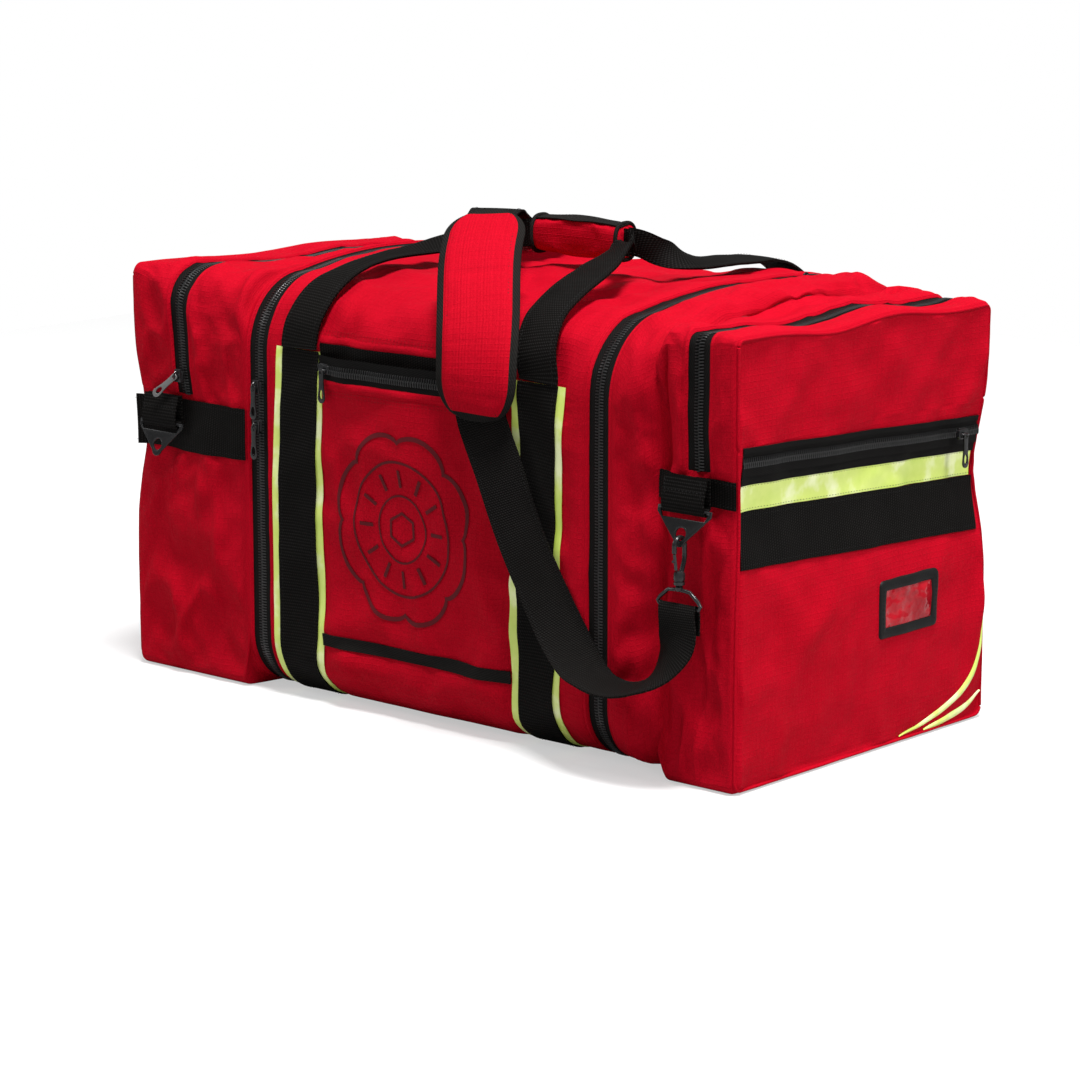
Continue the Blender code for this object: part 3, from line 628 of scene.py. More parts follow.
def loop_points(top_r, low_r, crown, inset=0.0):
    """Closed body profile in Y and Z: bottom centre, front, top, back."""
    half, top, low = HALF_W - inset, HEIGHT - inset, inset
    quarter = math.pi / 2
    pts = []
    for i in range(FLAT // 2):
        pts.append((-(half - low_r) * i / (FLAT // 2), low))
    for i in range(ARC):
        a = quarter * i / ARC
        pts.append((-half + low_r - low_r * math.sin(a), low + low_r - low_r * math.cos(a)))
    heights = list(np.linspace(low + low_r, KNEES[0], LOW_ROWS + 1)[:-1]) + list(KNEES)
    heights += list(np.linspace(FLAP_FOOT[1], top - top_r, HIGH_ROWS + 1)[:-1])
    pts += [(-half, z) for z in heights]
    for i in range(ARC):
        a = quarter * i / ARC
        pts.append((-half + top_r - top_r * math.cos(a), top - top_r + top_r * math.sin(a)))
    flat = half - top_r
    for i in range(FLAT // 2 + 1):
        y = -flat + flat * i / (FLAT // 2)
        pts.append((y, top + crown * (1 - (y / flat) ** 2)))
    mirror = [(-y, z) for y, z in pts[1:-1]]
    return np.array(pts + mirror[::-1])


LOOP = 2 * (FLAT // 2 + ARC + SIDE + ARC + FLAT // 2)


def outward(grid):
    """Outward normals of a grid whose rows follow X and whose columns run round the body."""
    along = np.gradient(grid, axis=0)
    around = (np.roll(grid, -1, axis=1) - np.roll(grid, 1, axis=1))
    normal = np.cross(around, along)
    length = np.linalg.norm(normal, axis=2, keepdims=True)
    normal /= np.maximum(length, 1e-9)
    flip = np.sum(normal * (grid - np.array(BAG_MIDDLE)), axis=2, keepdims=True) < 0
    return np.where(flip, -normal, normal)


def arc_length(grid):
    """Run round the body at each point of each ring."""
    step = np.linalg.norm(np.diff(grid, axis=1), axis=2)
    return np.concatenate([np.zeros((len(grid), 1)), np.cumsum(step, axis=1)], axis=1)


def edge_ladder(edge, far):
    """X stations that are dense beside a sewn edge and widen away from it."""
    steps = (0.0, 0.0008, 0.0018, 0.0030, 0.0042, 0.0056, 0.0080, 0.0120, 0.0180)
    direction = 1 if far > edge else -1
    return [edge + direction * s for s in steps]


def span(a, b, pitch):
    """Even stations from a to b."""
    count = max(2, int(round(abs(b - a) / pitch)) + 1)
    return list(np.linspace(a, b, count))


def hem_height(distance):
    """Rolled hem beside a zip: low at the very edge, round, then a stitched groove."""
    d = np.asarray(distance, float)
    lip = 0.0024 * smooth_step(0.0, 0.0020, d) - 0.0006 * (1 - smooth_step(0.0, 0.0016, d))
    groove = -0.0013 * bell(d, 0.0045, 0.0011)
    return (lip + groove) * (1 - smooth_step(0.012, 0.030, d))


def main_stations():
    """X of each ring of the main shell, between the two main zips."""
    left, right = MAIN_ZIP[-1] + TAPE_HALF, MAIN_ZIP[1] - TAPE_HALF
    a, b = edge_ladder(left, 0), edge_ladder(right, 0)
    return np.array(a + span(a[-1] + 0.007, b[-1] - 0.007, 0.0075) + b[::-1])


def floor_clamp(co, low=0.0008):
    """Keep points above the floor."""
    co[:, 2] = np.maximum(co[:, 2], low)
    return co


def make_main_body(mats):
    """The padded main panel, one shell from zip to zip that closes under the bag."""
    xs = main_stations()
    ring = loop_points(TOP_ROUND, LOW_ROUND, CROWN)
    grid = np.array([[(x, y, z) for y, z in ring] for x in xs])
    normal = outward(grid)
    flat = grid.reshape(-1, 3)
    x, y, z = flat.T
    edge = np.minimum(x - xs[0], xs[-1] - x)
    above = smooth_step(0.0, 0.05, z)
    rise = hem_height(edge) * smooth_step(0.002, 0.02, z)
    inner = smooth_step(0.0, 0.07, edge)
    for side in (-1, 1):
        strap = bell(x, WEB_X[side], 0.032)
        rise -= 0.0030 * strap * above * (z < WEB_TOP + 0.02)
    bulge = 0.0065 * inner * np.sin(np.pi * np.clip((z - 0.02) / 0.34, 0, 1)) * (np.abs(y) > 0.11)
    wrinkle = 0.0042 * fractal(flat * (1.0, 1.0, 0.75), 9.0, 1) + 0.0022 * fractal(flat, 24.0, 2)
    top = (z > 0.38) * 0.004 * fractal(flat * (1.0, 0.6, 1.0), 12.0, 3)
    wrinkle += 0.0034 * (creases(flat * (0.9, 1, 0.8), 10.0, 73) - 0.3)
    rise += bulge + (wrinkle * above + top) * (0.25 + 0.75 * inner) + back_fill(y, z)
    # pocket mouth: the front pocket panel stands a little proud below its zip
    pocket = (y < -0.12) * smooth_step(-0.124, -0.112, x) * (1 - smooth_step(0.108, 0.120, x))
    rise += pocket * (0.0030 * (1 - smooth_step(0.316, 0.326, z)) - 0.0030 * bell(z, 0.336, 0.012))
    rise += pocket * -0.0030 * bell(z, 0.062, 0.010)
    grid = grid + normal * rise.reshape(len(xs), -1)[:, :, None]
    uvs = np.stack([np.repeat(xs, LOOP), arc_length(grid).ravel()], axis=1)
    obj = mesh_object("main_body", grid.reshape(-1, 3), grid_faces(len(xs), LOOP, True), uvs,
                      [mats["red"], mats["lining"]])
    pins = np.maximum(1 - smooth_step(0.004, 0.030, edge), 1 - smooth_step(0.004, 0.022, z))
    settle(obj, pins, 0.012, 0.6, 16, 0.008)
    surface = floor_clamp(coords(obj), 0.0030).reshape(len(xs), LOOP, 3)
    set_coords(obj, surface.reshape(-1, 3))
    recalc_out(obj)
    stiffen(obj, 0.0026, inner=1)
    belong(obj, "red_fabric", "root", "main_panel", "bottom_panel")
    return obj, surface


def end_stations(side):
    """X of each ring of an end pocket, dense beside its zips and its step."""
    start = MAIN_ZIP[side] + side * TAPE_HALF
    zip_in = POCKET_ZIP[side] - side * TAPE_HALF
    zip_out = POCKET_ZIP[side] + side * TAPE_HALF
    stop = side * HALF_L
    first = edge_ladder(start, stop)
    lip_in = edge_ladder(zip_in, start)[::-1]
    lip_out = edge_ladder(zip_out, stop)[:7]
    steps = [side * v for v in np.linspace(STEP[side][0] - 0.004, STEP[side][1] + 0.004, 10)]
    fixed = first + lip_in + lip_out + [stop]
    extra = steps + span(zip_in, zip_out, 0.004) + span(start, stop, 0.0055)
    extra += [stop - side * d for d in (0.001, 0.0025, 0.005, 0.009, 0.014)]
    kept = list(fixed)
    for x in extra:
        if min(abs(x - k) for k in kept) > 0.0016:
            kept.append(x)
    return np.array(sorted((round(float(x), 6) for x in kept), reverse=side < 0))


def top_dip(side, x, y):
    """The unstuffed top of an end pocket sinks between its corners."""
    reach = smooth_step(STEP[side][0] - 0.01, STEP[side][1] + 0.04, np.asarray(x) * side)
    if side > 0:
        dip = 0.008 * bell(y, -0.050, 0.055) + 0.003 * bell(y, 0.11, 0.05)
    else:
        dip = 0.006 * bell(y, -0.02, 0.09)
    back_sag = 0.008 * smooth_step(0.03, 0.17, y)
    return (dip + back_sag) * reach


def pinch(side, x, z):
    """The end pocket narrows a little where its webbing band holds it."""
    reach = smooth_step(STEP[side][1], HALF_L, np.asarray(x) * side)
    return 0.0060 * bell(z, 0.240, 0.060) * reach


def back_fill(y, z):
    """The back top edge is fuller than the front one."""
    return 0.0125 * bell(y, 0.168, 0.036) * bell(z, 0.386, 0.038) + 0.005 * bell(y, 0.11, 0.05) * (z > 0.38)


def creases(points, scale, seed):
    """Sharp-crested folds, 0 to 1."""
    return np.clip(1 - 3.4 * np.abs(fractal(points, scale, seed, 2)), 0, 1) ** 2


def end_shape(side, flat, normal):
    """Displaced points of an end pocket's gusset."""
    x, y, z = flat.T
    start = abs(MAIN_ZIP[side] + side * TAPE_HALF)
    edge = x * side - start
    zip_gap = np.abs(x - POCKET_ZIP[side]) - TAPE_HALF
    upper = smooth_step(ZIP_FOOT[side] - 0.010, ZIP_FOOT[side] + 0.002, z)
    low = smooth_step(0.002, 0.02, z)
    rise = hem_height(edge) * low
    rise += np.where(zip_gap > -0.0001, hem_height(np.abs(zip_gap)), -0.0015) * upper
    inner = smooth_step(0.0, 0.03, edge) * smooth_step(0, 0.03, HALF_L - x * side)
    fold = STEP[side][0]
    if side > 0:
        rise -= 0.0105 * bell(x, fold, 0.0048) * low
        rise += 0.0055 * np.sin(np.pi * np.clip((x - start) / (fold - start), 0, 1)) * low
        sway = 0.006 * np.sin(16 * z + 1.0)
        rise -= 0.0050 * bell(x, fold - 0.016 + sway, 0.0065) * bell(z, 0.16, 0.12)
    calm = 1 - 0.7 * bell(zip_gap, 0.0, 0.008) * upper
    wrinkle = 0.0046 * fractal(flat * (1.0, 1.0, 0.7), 13.0, 5 + side) * inner
    wrinkle += 0.0024 * fractal(flat * (1, 1, 0.8), 30.0, 9 + side) * inner
    wrinkle += 0.0056 * (creases(flat * (1.3, 1, 0.5), 14.0, 75 + side) - 0.3) * inner
    rise += wrinkle * low * calm
    rise += back_fill(y, z) * (1 - smooth_step(STEP[side][0] - 0.02, STEP[side][0] + 0.01, x * side))
    moved = flat + normal * rise[:, None]
    on_top = smooth_step(0.30, HEIGHT, moved[:, 2])
    moved[:, 2] -= top_dip(side, x, y) * on_top
    squeeze = pinch(side, x, moved[:, 2]) * smooth_step(0.12, 0.19, np.abs(y))
    moved[:, 1] -= np.sign(y) * squeeze
    tuck = bell(moved[:, 2], 0.245, 0.055) * smooth_step(STEP[side][1], HALF_L, x * side)
    corner = smooth_step(0.14, 0.19, -y if side < 0 else y)
    moved[:, 0] -= side * (0.0025 + 0.0085 * corner) * tuck
    return moved


def rim_inset(side, x):
    """How far the box's outline draws in towards its end face."""
    radius = RIM_ROUND[side]
    depth = max(0.0, radius - max(0.0, HALF_L - abs(x)))
    return radius - math.sqrt(max(0.0, radius ** 2 - depth ** 2))


def end_profile(side, x):
    """Round like the main section up to the step, then boxy."""
    t = float(smooth_step(STEP[side][0], STEP[side][1], abs(x)))
    out = float(smooth_step(abs(POCKET_ZIP[side]) - TAPE_HALF, HALF_L, abs(x)))
    box_r = ZIP_ARC[side] + (BOX_TOP[side] - ZIP_ARC[side]) * out
    top_r = TOP_ROUND + (box_r - TOP_ROUND) * t
    low_r = LOW_ROUND + (BOX_LOW[side] - LOW_ROUND) * t
    return loop_points(top_r, low_r, CROWN * (1 - t), rim_inset(side, x) * RIM_KEEP)


def make_end(side, mats):
    """Gusset and end face of one end pocket, split into the fixed tub and the zipped flap."""
    word = WORD[side]
    xs = end_stations(side)
    grid = np.array([[(x, y, z) for y, z in end_profile(side, x)] for x in xs])
    normal = outward(grid)
    flat = end_shape(side, grid.reshape(-1, 3), normal.reshape(-1, 3))
    grid = flat.reshape(grid.shape)
    uvs = np.stack([np.repeat(xs, LOOP), arc_length(grid).ravel()], axis=1)
    obj = mesh_object(word + "_gusset", flat, grid_faces(len(xs), LOOP, True), uvs, [mats["red"]])
    x, _, z = flat.T
    edge = np.minimum(x * side - abs(xs[0]), HALF_L - x * side)
    near_zip = np.abs(x - POCKET_ZIP[side]) - TAPE_HALF
    pins = np.maximum(1 - smooth_step(0.002, 0.018, edge), 1 - smooth_step(0.004, 0.022, z))
    pins = np.maximum(pins, (1 - smooth_step(0.002, 0.014, near_zip)) * (z > ZIP_FOOT[side] - 0.01))
    settle(obj, np.clip(pins, 0, 1), 0.014, 0.5, 16, 0.007)
    final = floor_clamp(coords(obj))
    bpy.data.objects.remove(obj)
    surface = final.reshape(grid.shape)
    zip_in = POCKET_ZIP[side] - side * TAPE_HALF
    zip_out = POCKET_ZIP[side] + side * TAPE_HALF

    def above(row, j):
        return row <= j < LOOP - row

    def in_zip(i):
        middle = (xs[i] + xs[i + 1]) / 2
        return min(zip_in, zip_out) < middle < max(zip_in, zip_out)

    def beyond(i):
        return ((xs[i] + xs[i + 1]) / 2) * side > zip_out * side

    zip_row, flap_row = ZIP_ROW[side], FLAP_ROW[side]
    tub_faces = grid_faces(len(xs), LOOP, True, lambda i, j: not (
        (above(zip_row, j) and in_zip(i)) or (above(flap_row, j) and beyond(i))))
    flap_faces = grid_faces(len(xs), LOOP, True, lambda i, j: above(flap_row, j) and beyond(i))
    both = [mats["red"], mats["lining"]]
    panel, panel_uv, cut = end_face(side, surface[-1])
    rows, cols = panel.shape[:2]
    parts = []
    for part, faces, body, keep in (("_tub", tub_faces, "_end", False), ("_flap", flap_faces, "_flap", True)):
        panel_faces = grid_faces(rows, cols, False, lambda i, j: (i >= cut) == keep)
        for kind, points, kept, uv, nodes in (("_body", final, faces, uvs, [word + "_end" + part]),
                                              ("_face", panel.reshape(-1, 3), panel_faces, panel_uv, [])):
            piece = clean(mesh_object(word + part + kind, points, kept, uv, both))
            recalc_out(piece)
            stiffen(piece, 0.0024, inner=1)
            parts.append(belong(piece, "red_fabric", word + body, *nodes))
    return parts, surface, xs


def end_face(side, rim):
    """Grid of the end panel, fitted to the gusset's last ring. Returns points, uvs and the fold row."""
    front_low, front_high = FLAT // 2 + ARC // 2, FRONT_FOOT + SIDE + ARC // 2
    left = rim[front_low:front_high + 1]
    right = rim[LOOP - front_low:LOOP - front_high - 1:-1]
    rows = len(left)
    cols = 46
    bottom = rim[[(front_low - round(k)) % LOOP for k in np.linspace(0, 2 * front_low, cols)]]
    top = rim[[round(k) for k in np.linspace(front_high, LOOP - front_high, cols)]]
    u = np.linspace(0, 1, cols)[None, :, None]
    v = np.linspace(0, 1, rows)[:, None, None]
    lower, upper = bottom[None], top[None]
    a, b = left[:, None], right[:, None]
    corners = ((1 - u) * (1 - v) * left[0] + u * (1 - v) * right[0]
               + (1 - u) * v * left[-1] + u * v * right[-1])
    grid = (1 - v) * lower + v * upper + (1 - u) * a + u * b - corners
    flat = grid.reshape(-1, 3)
    y, z = flat[:, 1], flat[:, 2]
    border = np.minimum.reduce([np.repeat(np.arange(rows), cols), np.repeat(rows - 1 - np.arange(rows), cols),
                                np.tile(np.arange(cols), rows), np.tile(cols - 1 - np.arange(cols), rows)])
    soft = smooth_step(0, 5, border)
    rise = 0.0045 * soft * np.sin(np.pi * np.clip(z / 0.24, 0, 1)) - 0.0045 * soft * bell(z, 0.25, 0.035)
    rise += 0.0035 * soft * fractal(flat * (1, 1.3, 0.6), 12.0, 21 + side)
    rise += 0.0018 * soft * fractal(flat * (1, 1.4, 0.8), 32.0, 25 + side)
    streak = np.sin(70 * (y + 0.42 * z)) * bell(z, 0.345, 0.035) * bell(y, 0.0, 0.07)
    rise += 0.0024 * soft * streak
    rise += 0.0036 * soft * (creases(flat * (1, 1.1, 0.55), 11.0, 79 + side) - 0.3)
    flat[:, 0] += side * rise
    uv = np.stack([y, z], axis=1)
    grid = flat.reshape(rows, cols, 3)
    return grid, uv, FLAP_ROW[side] - front_low


# ------------------------------------------------------------------ laying things on the skin

class Skin:
    """Casts rays onto finished shells."""

    def __init__(self, objs):
        verts, faces = [], []
        for obj in objs:
            base = len(verts)
            verts += [v.co.copy() for v in obj.data.vertices]
            faces += [tuple(base + i for i in p.vertices) for p in obj.data.polygons]
        self.tree = BVHTree.FromPolygons(verts, faces)

    def height(self, point, normal, reach=0.03):
        """Height of the skin over a point, along a direction."""
        start = Vector(point) + Vector(normal) * reach
        spot = self.tree.ray_cast(start, -Vector(normal), 2 * reach)[0]
        return 0.0 if spot is None else (spot - Vector(point)).dot(Vector(normal))


def heights_on(skin, base, normals, reach=0.03):
    """Height of a skin over each point of a grid."""
    normals = np.broadcast_to(normals, base.shape)
    found = np.zeros(base.shape[:2])
    for index in np.ndindex(base.shape[:2]):
        found[index] = skin.height(base[index], normals[index], reach)
    return found


def relax(values, rounds):
    """Smooth a grid of numbers along both of its directions."""
    for _ in range(rounds):
        for axis in (0, 1):
            if values.shape[axis] > 2:
                ahead = np.concatenate([np.take(values, range(1, values.shape[axis]), axis),
                                        np.take(values, [-1], axis)], axis)
                behind = np.concatenate([np.take(values, [0], axis),
                                         np.take(values, range(values.shape[axis] - 1), axis)], axis)
                values = 0.5 * values + 0.25 * (ahead + behind)
    return values


def unit_rows(a):
    """Vectors scaled to length 1."""
    return a / np.maximum(np.linalg.norm(a, axis=-1, keepdims=True), 1e-9)


def run_length(points):
    """Distance along a polyline at each of its points."""
    return np.concatenate([[0], np.cumsum(np.linalg.norm(np.diff(points, axis=0), axis=1))])


def resample(points, pitch, *others):
    """Points at an even pitch along a polyline, with other rows carried along."""
    points = np.asarray(points, float)
    run = run_length(points)
    count = max(2, int(round(run[-1] / pitch)) + 1)
    at = np.linspace(0, run[-1], count)
    rows = [np.stack([np.interp(at, run, np.asarray(a)[:, k]) for k in range(3)], axis=1)
            for a in (points,) + others]
    return rows if others else rows[0]


def strip_base(centres, normals, width, cols):
    """Flat grid across a line; width is a number or one number for each row."""
    along = np.gradient(centres, axis=0)
    side = unit_rows(np.cross(along, normals))
    half = np.broadcast_to(np.asarray(width, float) / 2, (len(centres),))
    across = np.linspace(-1, 1, cols)[None, :] * half[:, None]
    base = centres[:, None] + side[:, None] * across[:, :, None]
    run = run_length(centres)
    uvs = np.stack([across, np.repeat(run[:, None], cols, 1)], axis=2)
    return base, uvs.reshape(-1, 2)


def strip_object(name, grid, uvs, thick, mat, offset=1.0):
    """Strip through a grid of points, thickened and smoothed."""
    rows, cols = grid.shape[:2]
    obj = mesh_object(name, grid.reshape(-1, 3), grid_faces(rows, cols), uvs, [mat])
    return stiffen(obj, thick, offset) if thick else subdivide(obj)


def laid_strip(name, skin, centres, normals, width, thick, mat, slot, body, *nodes, lift=0.0003, cols=9,
               calm=3):
    """Webbing sewn on a skin: it bridges the small wrinkles beneath it. Returns its top and normals."""
    centres, normals = resample(centres, 0.006, normals)
    normals = unit_rows(normals)
    base, uvs = strip_base(centres, normals, width, cols)
    wide = np.repeat(normals[:, None], cols, 1)
    raw = heights_on(skin, base, wide)
    height = np.maximum(relax(raw, calm), raw)
    height = relax(height, 1) + lift
    grid = base + wide * height[:, :, None]
    grid[:, :, 2] = np.maximum(grid[:, :, 2], 0.0003)
    belong(strip_object(name, grid, uvs, thick, mat), slot, body, *nodes)
    return grid + wide * thick, normals


def profile_path(side_x, top_r, low_r, z_start, z_stop, under):
    """Line round the body at one X: front, under and back (under) or over the top. With normals."""
    ring = np.array([(side_x, y, z) for y, z in loop_points(top_r, low_r, CROWN if top_r > 0.05 else 0)])
    tangent = np.roll(ring, -1, axis=0) - np.roll(ring, 1, axis=0)
    normal = unit_rows(np.cross(np.tile((1.0, 0, 0), (LOOP, 1)), tangent))
    if np.sum(normal[FRONT_FOOT + 2] * (0, -1, 0)) < 0:
        normal = -normal
    if under:
        front = [j for j in range(LOOP // 2) if ring[j][2] <= z_start]
        back = [j for j in range(LOOP // 2 + 1, LOOP) if ring[j][2] <= z_stop]
        order = front[::-1] + back[::-1]
    else:
        order = [j for j in range(LOOP // 2) if ring[j][2] >= z_start]
        order += [j for j in range(LOOP // 2, LOOP) if ring[j][2] >= z_stop]
    return ring[order], normal[order]


def build_stitches(name, lines, mat, pitch=0.0042, long=0.0027, wide=0.0006):
    """Dashes of thread along lines of (points, normals)."""
    verts, faces = [], []
    for points, normals in lines:
        points, normals = resample(points, pitch, normals)
        along = unit_rows(np.gradient(points, axis=0))
        normals = unit_rows(normals)
        side = np.cross(along, normals)
        for p, a, n, s in zip(points, along, normals, side):
            base = len(verts)
            verts += [p - a * long / 2, p + s * wide / 2, p + a * long / 2, p - s * wide / 2]
            verts.append(p + n * wide * 0.8)
            faces += [(base + i, base + (i + 1) % 4, base + 4) for i in range(4)]
    return mesh_object(name, verts, faces, np.zeros((len(verts), 2)), [mat])


def stitch_mesh(name, lines, mat, slot, body):
    """Thread sewn through a piece that moves as one."""
    belong(build_stitches(name, lines, mat), slot, body)


def edge_lines(grid, normals, inset):
    """Two lines inside the edges of a laid strip; inset is a share of its width."""
    cols = grid.shape[1]
    lines = []
    for share in (inset, 1 - inset):
        at = share * (cols - 1)
        low = int(at)
        line = grid[:, low] * (1 - at + low) + grid[:, min(low + 1, cols - 1)] * (at - low)
        lines.append((line, normals))
    return lines


# ------------------------------------------------------------------ zips

TEETH_PITCH = 0.0028
TEETH_GAP = 0.0002
TAPE_SINK = 0.0006


def teeth_block(points, normals, inward, phase):
    """Moulded teeth of one zip half. inward points from the fabric towards the zip's middle."""
    points, normals, inward = resample(points, TEETH_PITCH, normals, inward)
    along = unit_rows(np.gradient(points, axis=0))
    normals, inward = unit_rows(normals), unit_rows(inward)
    verts, faces = [], []
    for p, a, n, w in zip(points, along, normals, inward):
        p = p + a * phase * TEETH_PITCH
        base = len(verts)
        for height, shrink in ((0.0, 1.0), (0.0009, 0.95), (0.0014, 0.6)):
            for da, dw in ((-1, -0.0046), (1, -0.0046), (1, 0.0009), (-1, 0.0009)):
                verts.append(p + a * da * 0.00062 * shrink + w * (dw * shrink) + n * height)
        for layer in (0, 4):
            for i in range(4):
                j = (i + 1) % 4
                faces.append((base + layer + i, base + layer + j, base + layer + 4 + j, base + layer + 4 + i))
        faces.append((base + 8, base + 9, base + 10, base + 11))
    return verts, faces


def zip_half(name, edge, other, normals, body, mats, phase, *nodes):
    """One half of a zip: its woven tape from under the fabric's edge to the middle, and its teeth."""
    edge, other, normals = np.asarray(edge), np.asarray(other), unit_rows(np.asarray(normals))
    edge, other, normals = resample(edge, 0.005, other, normals)
    middle = (edge + other) / 2
    inward = unit_rows(middle - edge)
    middle = middle - inward * TEETH_GAP
    shares = (-0.22, 0.0, 0.35, 0.62, 0.80, 1.0)
    drops = (0.0, 0.0, 0.0001, 0.0002, -0.0002, -0.0003)
    cols = [edge + (middle - edge) * t - normals * (TAPE_SINK + d) for t, d in zip(shares, drops)]
    grid = np.stack(cols, axis=1)
    run = run_length(edge)
    uvs = np.stack([np.tile(np.array(shares) * TAPE_HALF, (len(edge), 1)),
                    np.repeat(run[:, None], len(shares), 1)], axis=2).reshape(-1, 2)
    verts = list(grid.reshape(-1, 3))
    faces = grid_faces(len(edge), len(shares))
    tape_count = len(faces)
    more, teeth = teeth_block(middle - normals * TAPE_SINK, normals, inward, phase)
    base = len(verts)
    verts += more
    faces += [tuple(base + i for i in f) for f in teeth]
    uvs = np.concatenate([uvs, np.zeros((len(more), 2))])
    slots = [0] * tape_count + [1] * len(teeth)
    obj = mesh_object(name, verts, faces, uvs, [mats["tape"], mats["coil"]], slots)
    flat = obj.data.polygons
    flat.foreach_set("use_smooth", [k < tape_count for k in range(len(faces))])
    belong(obj, "zip_tape", body, *nodes)


def make_main_zip(side, main_grid, end_grid, mats):
    """The long zip beside an end pocket, and the uncut cloth at its back that it swings on."""
    word = WORD[side]
    a = main_grid[0 if side < 0 else -1]
    b = end_grid[0]
    normals = outward(main_grid)[0 if side < 0 else -1]
    back = LOOP - FRONT_FOOT - SIDE + 2
    order = [(k - FLAT // 2) % LOOP for k in range(back + FLAT // 2)]
    zip_half("main_zip_%s_inner" % word, a[order], b[order], normals[order], "root", mats, 0.0,
             "main_zip_" + word)
    zip_half("main_zip_%s_outer" % word, b[order], a[order], normals[order], word + "_end", mats, 0.5)
    rest = [k % LOOP for k in range(back - 1, LOOP - FLAT // 2 + 1)]
    shares = np.linspace(-0.12, 1.12, 7)
    grid = np.stack([a[rest] + (b[rest] - a[rest]) * t for t in shares], axis=1)
    grid += normals[rest][:, None] * (0.0018 * np.sin(np.pi * np.clip(shares, 0, 1)) - 0.0002)[None, :, None]
    run = run_length(a[rest])
    uvs = np.stack([np.tile(shares * 2 * TAPE_HALF, (len(rest), 1)),
                    np.repeat(run[:, None], len(shares), 1)], axis=2).reshape(-1, 2)
    hinge = strip_object("%s_hinge_cloth" % word, grid, uvs, 0.0014, mats["red"], offset=0.0)
    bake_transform(hinge)


def make_pocket_zip(side, surface, xs, mats):
    """The zip over the top of an end pocket: its inner half stays, its outer half opens with the flap."""
    word = WORD[side]
    inner_x = POCKET_ZIP[side] - side * TAPE_HALF
    outer_x = POCKET_ZIP[side] + side * TAPE_HALF
    i, o = int(np.argmin(abs(xs - inner_x))), int(np.argmin(abs(xs - outer_x)))
    normals = outward(surface)[i]
    a, b = surface[i], surface[o]
    whole = list(range(ZIP_ROW[side], LOOP - ZIP_ROW[side] + 1))
    zip_half(word + "_pocket_zip_inner", a[whole], b[whole], normals[whole], word + "_end", mats, 0.0,
             word + "_pocket_zip")
    upper = list(range(FLAP_ROW[side], LOOP - FLAP_ROW[side] + 1))
    zip_half(word + "_pocket_zip_outer", b[upper], a[upper], normals[upper], word + "_flap", mats, 0.5)
    if ZIP_ROW[side] == FLAP_ROW[side]:
        return
    for end, rows in (("front", range(ZIP_ROW[side], FLAP_ROW[side] + 1)),
                      ("back", range(LOOP - FLAP_ROW[side], LOOP - ZIP_ROW[side] + 1))):
        rows = list(rows)
        zip_half("%s_pocket_zip_foot_%s" % (word, end), b[rows], a[rows], normals[rows], word + "_end",
                 mats, 0.5)


# ------------------------------------------------------------------ webbing and bands

WEB_WIDE = 0.045
TRIM_WIDE = 0.062
WEB_LEAN = 0.007


def make_carry_webbing(skin, mats):
    """The two webbings that run under the bag, each on a wider lime tape."""
    lines = []
    for side in (-1, 1):
        word = WORD[side]
        path, normals = profile_path(WEB_X[side], TOP_ROUND, LOW_ROUND, WEB_TOP, WEB_TOP, True)
        path[:, 0] += WEB_LEAN * smooth_step(0.19, WEB_TOP, path[:, 2]) * (path[:, 1] < 0)
        trim, web = "reflective_tape_" + word, "webbing_" + word
        laid_strip(trim + "_sewn", skin, path, normals, TRIM_WIDE, 0.0005, mats["lime"], "reflective", "root",
                   trim, lift=0.0008, cols=13, calm=1)
        grid, ns = laid_strip(web + "_sewn", skin, path, normals, WEB_WIDE, 0.0014, mats["web"],
                              "black_webbing", "root", web, lift=0.0016)
        lines += edge_lines(grid, ns, 0.09)
    stitch_mesh("webbing_stitches", lines, mats["thread_black"], "black_webbing", "root")


def straight_line(ends, axis, count):
    """Points from one end to the other, each with the same normal."""
    a, b = np.array(ends, float)
    path = a + (b - a) * np.linspace(0, 1, count)[:, None]
    return path, np.tile(np.array(axis, float), (count, 1))


def face_strip(name, skin, ends, axis, *rest):
    """A straight band sewn on a face; ends are its two end points on the nominal surface."""
    return laid_strip(name, skin, *straight_line(ends, axis, 40), *rest)


